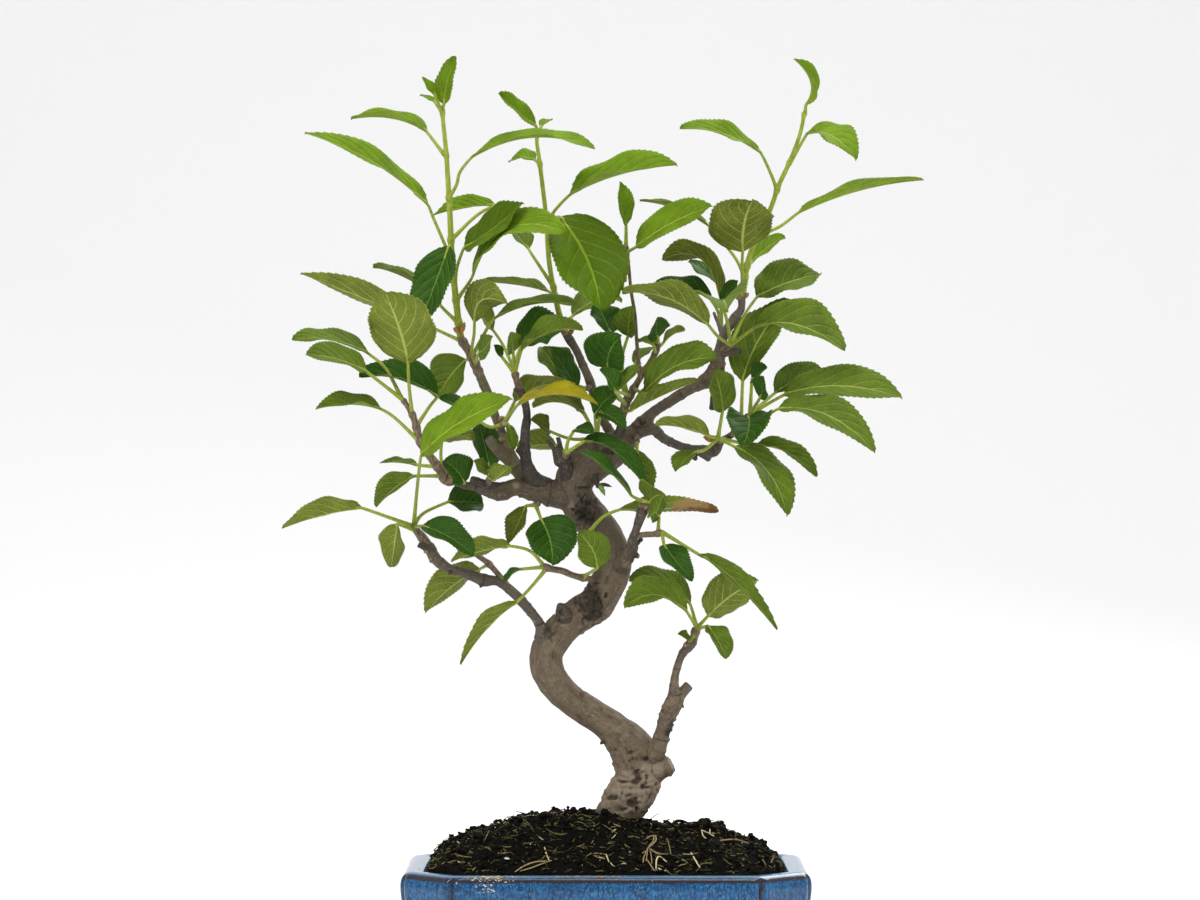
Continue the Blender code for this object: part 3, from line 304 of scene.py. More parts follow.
def rodsPart(paths, radii, sides, tones):
    # many thin rods at once: paths is (rods, points, 3) and radii is (rods, points)
    count, steps = paths.shape[:2]
    along = unit(np.gradient(paths, axis=1))
    side = unit(np.cross(along, [0.11, 0.23, 1.0]))
    other = np.cross(side, along)
    angle = roundAngles(sides)[None, None, :, None]
    ring = side[:, :, None] * np.cos(angle) - other[:, :, None] * np.sin(angle)
    points = paths[:, :, None] + ring * radii[:, :, None, None]
    one = closedGrid(points[0])
    ends = np.stack([paths[:, 0], paths[:, -1]], 1)
    points = np.concatenate([points.reshape(count, -1, 3), ends], 1)
    starts = np.arange(count)[:, None, None] * (steps * sides + 2)
    faces = (one["faces"][None] + starts).reshape(-1, 4)
    return {"points": points.reshape(-1, 3), "faces": faces, "tone": np.repeat(tones, len(one["faces"]))}


class Nodes:
    # short calls for building a material's nodes and joining them up
    def __init__(self, name):
        self.material = bpy.data.materials.new(name)
        self.material.use_nodes = True
        self.tree = self.material.node_tree
        self.shader = self.tree.nodes["Principled BSDF"]
        self.output = self.tree.nodes["Material Output"]

    def join(self, value, socket):
        # a link from another node, or a plain value; a colour is made opaque
        if isinstance(value, bpy.types.NodeSocket):
            self.tree.links.new(value, socket)
        elif value is not None:
            socket.default_value = (*value, 1) if socket.type == "RGBA" else value

    def add(self, kind, inputs=(), **settings):
        node = self.tree.nodes.new(kind)
        for name, value in settings.items():
            setattr(node, name, value)
        for place, value in dict(inputs).items():
            self.join(value, node.inputs[place])
        return node

    def sum(self, operation, first, second=None, third=None):
        # one step of arithmetic on numbers or sockets
        inputs = {i: v for i, v in enumerate((first, second, third)) if v is not None}
        return self.add("ShaderNodeMath", inputs, operation=operation).outputs[0]

    def times(self, first, second):
        return self.sum("MULTIPLY", first, second)

    def line(self, value, slope, start):
        # value x slope + start
        return self.sum("MULTIPLY_ADD", value, slope, start)

    def ragged(self, noise, amount, value):
        # a value whose edge a noise makes ragged: value + amount x (noise - 1/2)
        return self.line(self.sum("SUBTRACT", noise, 0.5), amount, value)

    def mark(self, name):
        # a number that the mesh carries at each point
        return self.add("ShaderNodeAttribute", attribute_name=name).outputs["Fac"]

    def mixed(self, share, first, second, blend="MIX"):
        node = self.add("ShaderNodeMix", {0: share, 6: first, 7: second}, data_type="RGBA",
                        blend_type=blend)
        return node.outputs[2]

    def band(self, value, low, high, least=0.0, most=1.0):
        # the value taken smoothly from least at low to most at high
        node = self.add("ShaderNodeMapRange", {0: value, 1: low, 2: high, 3: least, 4: most},
                        interpolation_type="SMOOTHSTEP")
        return node.outputs[0]

    def fall(self, value, low, high):
        # 1 below low, falling smoothly to 0 at high
        return self.sum("SUBTRACT", 1.0, self.band(value, low, high))

    def where(self, stretch=(1, 1, 1)):
        # the place on the object, drawn out along its axes
        spot = self.add("ShaderNodeTexCoord").outputs["Object"]
        return self.add("ShaderNodeMapping", {0: spot, 3: stretch}).outputs[0]

    def noise(self, spot, scale, detail=3.0, rough=0.55, warp=0.0):
        node = self.add("ShaderNodeTexNoise", {
            "Vector": spot, "Scale": scale, "Detail": detail, "Roughness": rough,
            "Distortion": warp,
        })
        return node.outputs[0]

    def cells(self, spot, scale, feature="DISTANCE_TO_EDGE"):
        return self.add("ShaderNodeTexVoronoi", {"Vector": spot, "Scale": scale},
                        feature=feature).outputs["Distance"]

    def bump(self, height, distance, strength=1.0, under=None):
        return self.add("ShaderNodeBump", {
            "Height": height, "Distance": distance, "Strength": strength, "Normal": under,
        }).outputs[0]

    def finish(self, colour, roughness, normal=None, **fixed):
        self.join(colour, self.shader.inputs["Base Color"])
        self.join(roughness, self.shader.inputs["Roughness"])
        self.join(normal, self.shader.inputs["Normal"])
        for name, value in fixed.items():
            self.shader.inputs[name.replace("_", " ")].default_value = value
        return self.material

    def letThrough(self, share, colour, normal=None):
        # part of the light comes through from behind
        through = self.add("ShaderNodeBsdfTranslucent", {"Color": colour, "Normal": normal})
        both = self.add("ShaderNodeMixShader", {0: share, 1: self.shader.outputs[0],
                                                2: through.outputs[0]})
        self.join(both.outputs[0], self.output.inputs["Surface"])


def plainMaterial(name, colour, roughness):
    # one colour, for the floor and the smallest bits
    made = Nodes(name)
    return made.finish(colour, roughness)


leafFinish = {
    "veinPairs": 6,
    "veinLean": 0.27,          # how far a side vein has run towards the tip at the edge
    "veinCurve": 0.15,
    "tones": {  # upper colour, vein on it, under colour, vein under, light let through
        "young": ((0.150, 0.268, 0.006), (0.44, 0.55, 0.07), (0.20, 0.305, 0.020),
                  (0.50, 0.60, 0.10), 0.30),
        "bright": ((0.090, 0.170, 0.001), (0.22, 0.34, 0.02), (0.15, 0.240, 0.012),
                   (0.44, 0.52, 0.08), 0.26),
        "mid": ((0.096, 0.158, 0.008), (0.36, 0.44, 0.09), (0.145, 0.205, 0.020),
                (0.44, 0.49, 0.11), 0.20),
        "deep": ((0.023, 0.076, 0.003), (0.13, 0.25, 0.04), (0.085, 0.143, 0.020),
                 (0.30, 0.38, 0.09), 0.14),
        "olive": ((0.085, 0.112, 0.008), (0.34, 0.39, 0.07), (0.122, 0.152, 0.016),
                  (0.40, 0.43, 0.10), 0.18),
        "pale": ((0.080, 0.145, 0.012), (0.30, 0.40, 0.07), (0.152, 0.202, 0.024),
                 (0.46, 0.50, 0.13), 0.20),
        "gold": ((0.400, 0.340, 0.005), (0.62, 0.56, 0.08), (0.44, 0.39, 0.03),
                 (0.64, 0.60, 0.12), 0.30),
    },
    "brown": (0.17, 0.080, 0.028),
    "tan": (0.38, 0.25, 0.10),
    "darkHalf": {"bright": 0.75},    # one half turned from the light looks darker
    "spread": (0.66, 1.34),          # the darker and the lighter patches, as shares of the colour
    "scales": {"wobble": 420.0, "net": 640.0, "patches": 95.0, "fine": 900.0, "ragged": 160.0},
    "upper": {"vein": 0.66, "net": 0.13, "ridge": -0.7, "rough": 0.44, "shine": 0.13},
    "under": {"vein": 0.90, "net": 0.20, "ridge": 0.9, "rough": 0.58, "shine": 0.08},
}


def leafMaterial(tone, under):
    # side veins leave the midrib in turn, left and right, and bend towards the tip; a net of fine
    # veins fills the blade between them, and each field between two veins swells a little
    upperColour, upperVein, underColour, underVein, light = leafFinish["tones"][tone]
    colour, veinColour = (underColour, underVein) if under else (upperColour, upperVein)
    sideName = "under" if under else "upper"
    face, scales = leafFinish[sideName], leafFinish["scales"]
    made = Nodes(f"{tone} leaf {sideName}")
    along, across, shade = made.mark("along"), made.mark("across"), made.mark("shade")
    off = made.sum("ABSOLUTE", across)
    lean = made.line(off, leafFinish["veinCurve"], leafFinish["veinLean"])
    start = made.sum("SUBTRACT", along, made.times(lean, off))
    turn = made.times(made.sum("LESS_THAN", across, 0.0), 0.5)
    phase = made.line(start, float(leafFinish["veinPairs"]), turn)
    near = made.sum("PINGPONG", phase, 0.5)
    spot = made.where()
    near = made.ragged(made.noise(spot, scales["wobble"], 2.0), 0.07, near)
    width = made.line(off, -0.035, 0.070)
    sideVein = made.fall(made.sum("DIVIDE", near, width), 0.25, 1.0)
    sideVein = made.times(sideVein, made.band(off, 0.8, 1.0, 1.0, 0.25))
    ribWidth = made.line(along, -0.035, 0.075)
    rib = made.fall(made.sum("DIVIDE", off, ribWidth), 0.4, 1.0)
    net = made.fall(made.cells(spot, scales["net"]), 0.0, 0.22)
    vein = made.sum("MAXIMUM", rib, made.times(sideVein, face["vein"]))
    vein = made.sum("MAXIMUM", vein, made.times(net, face["net"]))
    patches = made.noise(spot, scales["patches"], 4.0)
    fine = made.noise(spot, scales["fine"], 3.0)
    darker, lighter = (tuple(min(1, share * part) for part in colour) for share in leafFinish["spread"])
    base = made.mixed(made.band(patches, 0.3, 0.72), darker, lighter)
    base = made.mixed(made.times(shade, 0.55), base, colour)
    base = made.mixed(made.band(shade, 0.0, 1.0, 0.30, 0.0), base, darker)
    base = made.mixed(made.times(made.band(fine, 0.45, 0.8), 0.25), base, lighter)
    turned = made.band(across, -0.05, 0.05, leafFinish["darkHalf"].get(tone, 0.0), 0.0)
    base = made.mixed(turned, base, darker)
    base = made.mixed(vein, base, veinColour)
    dying = made.line(made.noise(spot, scales["ragged"], 4.0), 0.8, made.mark("brown"))
    dead = made.band(dying, 0.92, 1.05)
    dry = made.mixed(made.band(patches, 0.42, 0.56), leafFinish["brown"], leafFinish["tan"])
    base = made.mixed(dead, base, dry)
    edge = made.band(off, 0.93, 1.0, 0.0, 0.22)
    base = made.mixed(edge, base, veinColour)
    field = made.band(near, 0.0, 0.42)
    raised = made.line(net, -0.10, made.times(field, 0.5))
    ridge = made.times(made.sum("MAXIMUM", rib, made.times(sideVein, 0.7)), face["ridge"])
    height = made.sum("ADD", raised, ridge)
    normal = made.bump(height, 0.0006, 0.7)
    normal = made.bump(fine, 0.00012, 0.5, normal)
    rough = made.line(patches, 0.20, face["rough"])
    made.finish(base, rough, normal, Specular_IOR_Level=face["shine"])
    glow = made.mixed(0.5, base, lighter)
    made.letThrough(light, glow, normal)
    return made.material


def grainyMaterial(name, dark, light, roughness, scale=700.0, shine=0.25):
    # a grain of two colours that stands out a little where it is light
    made = Nodes(name)
    spot = made.where()
    grain = made.noise(spot, scale, 5.0, 0.65)
    base = made.mixed(made.band(grain, 0.32, 0.68), dark, light)
    normal = made.bump(grain, 0.0005, 0.8)
    return made.finish(base, roughness, normal, Specular_IOR_Level=shine)


leafForm = {
    "rows": 62,
    "smallRows": 40,
    "small": 14.5,             # pixels of half width below which a blade is a small one
    "steps": (0, 0.16, 0.37, 0.58, 0.8, 1),
    "smallSteps": (0, 0.24, 0.5, 0.76, 1),
    "across": (0, 0.05, 0.12, 0.24, 0.40, 0.58, 0.78, 1),
    "fold": (24, 9),
    "wave": 0.10,
    "tooth": 0.80 * mm,         # at most an eighth of the half width
    "thickness": 0.34 * mm,
    "rib": 0.42 * mm,
    "quilt": 0.030,
    "stalk": 0.86 * mm,
    "baseShifts": (0, -4, 4, -8, 8, -12, 12),
    "tipShifts": (0, -6, 6, -12, 12, -18, 18, -24, 24, -30, 30, -38, 38),
    "deepest": 68,
    "fullness": (0.62, 0.74),   # of the outline at the base and at the tip
    "widest": 2.56,             # brings the outline's widest place to 1
    "teeth": 0.9,               # share of the half width past which the edge is toothed
    "toothRows": 3,
    "toothRun": 0.9,
    "thinEdge": 0.35,
    "foldStep": 2.4,            # sets how much one leaf's fold differs from the next leaf's
    "waveStep": 2.1,            # turn of the wave from one of the model's rows to the next
    "ripple": 0.055,
    "ribReach": 0.0006,
    "stalkTaper": (1.08, 0.42, 0.28, 0.10),    # at the root, lost by the blade, swelling, its length
    "bright": (7, 20),          # leaves named by their order in the table below
    "turned": {114: 128},       # degrees round the midrib
    "dried": [  # leaf, place along, place across, size
        (114, 0.98, 0, 0.60), (45, 1.02, 0, 0.13), (46, 0.22, 0.8, 0.12), (48, 0.2, 0.9, 0.05),
        (48, 1.02, 0, 0.06), (103, 1.02, 0, 0.07), (58, 1.0, 0.4, 0.10), (58, 0.3, -0.8, 0.06),
        (40, 1.02, 0, 0.05), (13, 1.0, 0, 0.04), (31, 0.5, 1.0, 0.03), (102, 1.0, 0, 0.05),
        (107, 1.0, 0, 0.04),
    ],
}
leafTones = ["young", "mid", "deep", "olive", "pale", "gold", "bright"]


def stemDepth(stems, x, y):
    # the depth of the nearest point of a spray's stems to a pixel
    best = (math.inf, 0.0)
    spot = np.array((x, y), float)
    for stem in stems:
        for (x0, y0, _, d0), (x1, y1, _, d1) in zip(stem, stem[1:]):
            run = np.array((x1 - x0, y1 - y0), float)
            share = float(np.clip(np.dot(spot - (x0, y0), run) / np.dot(run, run), 0, 1))
            away = float(np.linalg.norm(spot - (x0, y0) - share * run))
            best = min(best, (away, d0 + share * (d1 - d0)))
    return best[1]


def leafLine(leaf, stems, shift):
    # the stalk's points, and the blade's middle line as three control points
    spots, _, _, baseDepth, tipDepth, _ = leaf
    spots = np.reshape(spots, (-1, 2))
    stalk, blade = spots[:-3], spots[-3:]
    baseDepth += shift[0]
    tipDepth += shift[1]
    root = stemDepth(stems, *stalk[0])
    depths = [root + (baseDepth - root) * i / len(stalk) for i in range(len(stalk))]
    points = [place(x, y, depth) for (x, y), depth in zip(stalk, depths)]
    base = place(*blade[0], baseDepth)
    tip = place(*blade[2], tipDepth)
    control = 2 * place(*blade[1], (baseDepth + tipDepth) / 2) - (base + tip) / 2
    return points, (base, control, tip)


def bend(controls, u):
    # (1-u)^2 base + 2u(1-u) control + u^2 tip
    base, control, tip = controls
    u = np.asarray(u)[:, None]
    return (1 - u) ** 2 * base + 2 * u * (1 - u) * control + u * u * tip


def leafSteps(leaf):
    # where along its midrib the model's leaf has points, and how many rows the finer one has
    if leaf[1] > leafForm["small"]:
        return leafForm["steps"], leafForm["rows"]
    return leafForm["smallSteps"], leafForm["smallRows"]


def chosenShift(leaf, stems, model, steps):
    # of the depth changes a leaf may have, the one whose midrib lies on the measured model
    best = (math.inf, (0, 0))
    for b in leafForm["baseShifts"]:
        for t in leafForm["tipShifts"]:
            _, controls = leafLine(leaf, stems, (b, t))
            line = bend(controls, steps[1:])
            if max(abs(line[:, 1]).max(), abs(controls[0][1])) > leafForm["deepest"] * mm:
                continue
            gaps = np.linalg.norm(line[:, None] - model[None], axis=2).min(1)
            best = min(best, (float(gaps.sum()), (b, t)))
    return best


def bladeShape(u):
    # share of the half width: 2.56 u^0.62 (1-u)^0.74
    base, tip = leafForm["fullness"]
    return np.clip(u, 0, 1) ** base * np.clip(1 - u, 0, 1) ** tip * leafForm["widest"]


def leafParts(leaf, stems, number, shift, tone):
    # a blade is two sheets over one grid: u runs down the midrib, v from edge to edge. It folds up
    # at the midrib, waves and ripples towards its edges, and swells between its side veins.
    _, halfWidth, face, _, _, _ = leaf
    steps, rows = leafSteps(leaf)
    draw = np.random.default_rng(1000 + number)
    stalkPoints, controls = leafLine(leaf, stems, shift)
    u = np.linspace(0, 1, rows)
    centre = bend(controls, u)
    along = unit(np.gradient(centre, axis=0))
    front = np.array([0, -1.0, 0])
    main = unit(controls[2] - controls[0])
    toward = unit(front - main * main.dot(front))
    upward = np.cross(main, toward)
    upward = upward if upward[2] >= 0 else -upward
    turn = math.radians(leafForm["turned"].get(number, face))
    upSide = math.cos(turn) * toward + math.sin(turn) * upward
    up = unit(upSide - along * (along @ upSide)[:, None])
    side = np.cross(along, up)
    half = halfWidth * view["pixel"]
    usual, change = leafForm["fold"]
    fold = math.radians(usual + change * math.sin(number * leafForm["foldStep"]))
    v = np.array([-x for x in leafForm["across"][:0:-1]] + list(leafForm["across"]))
    off = np.abs(v)
    shape = bladeShape(u)
    full = np.minimum(1, shape)[:, None]
    atEdge = off > leafForm["teeth"]
    width = np.maximum(half * shape, 0.00055 * (1 - u) + 0.0001)
    # each tooth rises over a few rows and ends at once
    climb = np.arange(rows) % leafForm["toothRows"] / (leafForm["toothRows"] - 1)
    deepest = min(leafForm["tooth"] / half, 0.125)
    tooth = deepest * (climb - 0.4) * np.minimum(1, shape * 1.6)
    tooth[0] = tooth[-1] = 0
    reach = width[:, None] * (off[None] + tooth[:, None] * atEdge[None])
    cupped = off[None] ** (1.15 + 0.25 * draw.random())
    row = np.interp(u, steps, np.arange(len(steps)))
    wave = leafForm["wave"] * half * np.sin(leafForm["waveStep"] * row + number) * np.minimum(1, row)
    rise = width[:, None] * math.sin(fold) * cupped - v[None] * wave[:, None]
    ripple = leafForm["ripple"] * half * np.sin(u * draw.uniform(13, 19) + draw.uniform(0, 6))
    rise = rise + ripple[:, None] * off[None] ** 3 * np.sign(v)[None] * full
    lean = leafFinish["veinLean"] + leafFinish["veinCurve"] * off
    phase = (u[:, None] - (lean * off)[None]) * leafFinish["veinPairs"] + 0.5 * (v < 0)[None]
    fromVein = np.abs(phase - np.round(phase)) * 2
    swell = leafForm["quilt"] * half * (fromVein ** 0.8 - 0.4) * (np.sin(off * math.pi) ** 0.7)[None]
    rise = rise + swell * full
    length = np.linalg.norm(controls[2] - controls[0])
    slide = (climb * leafForm["toothRun"] * (u[1] - u[0]))[:, None] * atEdge[None] * length
    slide[0] = slide[-1] = 0
    sheet = (centre[:, None] + side[:, None] * (np.sign(v)[None] * reach * math.cos(fold))[..., None]
             + up[:, None] * rise[..., None] + along[:, None] * slide[..., None])
    normal = unit(np.cross(np.gradient(sheet, axis=0), np.gradient(sheet, axis=1)))
    normal = np.where((normal * up[:, None]).sum(-1, keepdims=True) < 0, -normal, normal)
    thin = leafForm["thickness"] / 2 * np.where(atEdge, leafForm["thinEdge"], 1)[None]
    thin = thin * np.ones(rows)[:, None]
    spread = bell(off[None] * width[:, None], leafForm["ribReach"])
    rib = leafForm["rib"] * (1 - u[:, None]) ** 0.6 * spread
    top = sheet + normal * (thin - 0.35 * rib)[..., None]
    bottom = sheet - normal * (thin + rib)[..., None]
    shade = float(draw.random())
    brown = brownMark(number, u, v, draw)
    marks = {"along": u[:, None], "across": v[None], "shade": shade, "brown": brown}
    return blades(top, bottom, tone, marks), stalkPart(stalkPoints, controls)


def brownMark(number, u, v, draw):
    # how far each point has dried: a little at some tips and edges, much on the named leaves
    mark = 0.42 * draw.random() * np.clip(u * 3 - 2, 0, 1)[:, None] * (np.abs(v) ** 2)[None]
    for leafNumber, middle, across, size in leafForm["dried"]:
        if leafNumber == number:
            gap = ((u[:, None] - middle) / size) ** 2 + ((v[None] - across) / (3 * size)) ** 2
            mark = np.maximum(mark, 1.1 * np.exp(-gap))
    return mark


def blades(top, bottom, tone, marks):
    # the two sheets with a rim round them, as one closed part
    rows, columns = top.shape[:2]
    count = rows * columns
    grid = gridFaces(rows, columns)
    index = np.arange(count).reshape(rows, columns)
    rim = np.concatenate([index[0, :], index[1:, -1], index[-1, -2::-1], index[-2:0:-1, 0]])
    following = np.roll(rim, -1)
    wall = np.stack([rim + count, following + count, following, rim], 1)
    points = np.concatenate([top.reshape(-1, 3), bottom.reshape(-1, 3)])
    # the upper sheet must face the way its rim turns
    i, j = rows // 2, columns // 2
    across, down = top[i, j + 1] - top[i, j], top[i + 1, j] - top[i, j]
    out = np.cross(across, down) @ (top[i, j] - bottom[i, j])
    upper, lower = grid, grid[:, ::-1] + count
    if out < 0:
        upper, lower, wall = upper[:, ::-1], lower[:, ::-1], wall[:, ::-1]
    faces = np.concatenate([upper, lower, wall])
    part = {"points": points, "faces": faces, "tone": tone * 2 + (np.arange(len(faces)) >= len(upper))}
    for name, value in marks.items():
        value = np.broadcast_to(value, (rows, columns)).reshape(-1)
        part[name] = np.concatenate([value, value])
    return part


def stalkPart(stalkPoints, controls):
    # a stalk starts inside its stem, is thickest there and runs on beneath the blade's base
    root, lost, swelling, reach = leafForm["stalkTaper"]
    line = stalkPoints + list(bend(controls, (0.0, 0.07, 0.16)))
    path, share = smoothPath(line, np.linspace(0, 1, len(line)), 1.4 * mm)
    share = share[:, 0]
    radii = leafForm["stalk"] * (root - lost * share) * (1 + swelling * bell(share, reach))
    radii = radii * np.where(share > 0.93, 0.7, 1)
    return tubePart(path, radii, 8, len(leafTones) * 2)


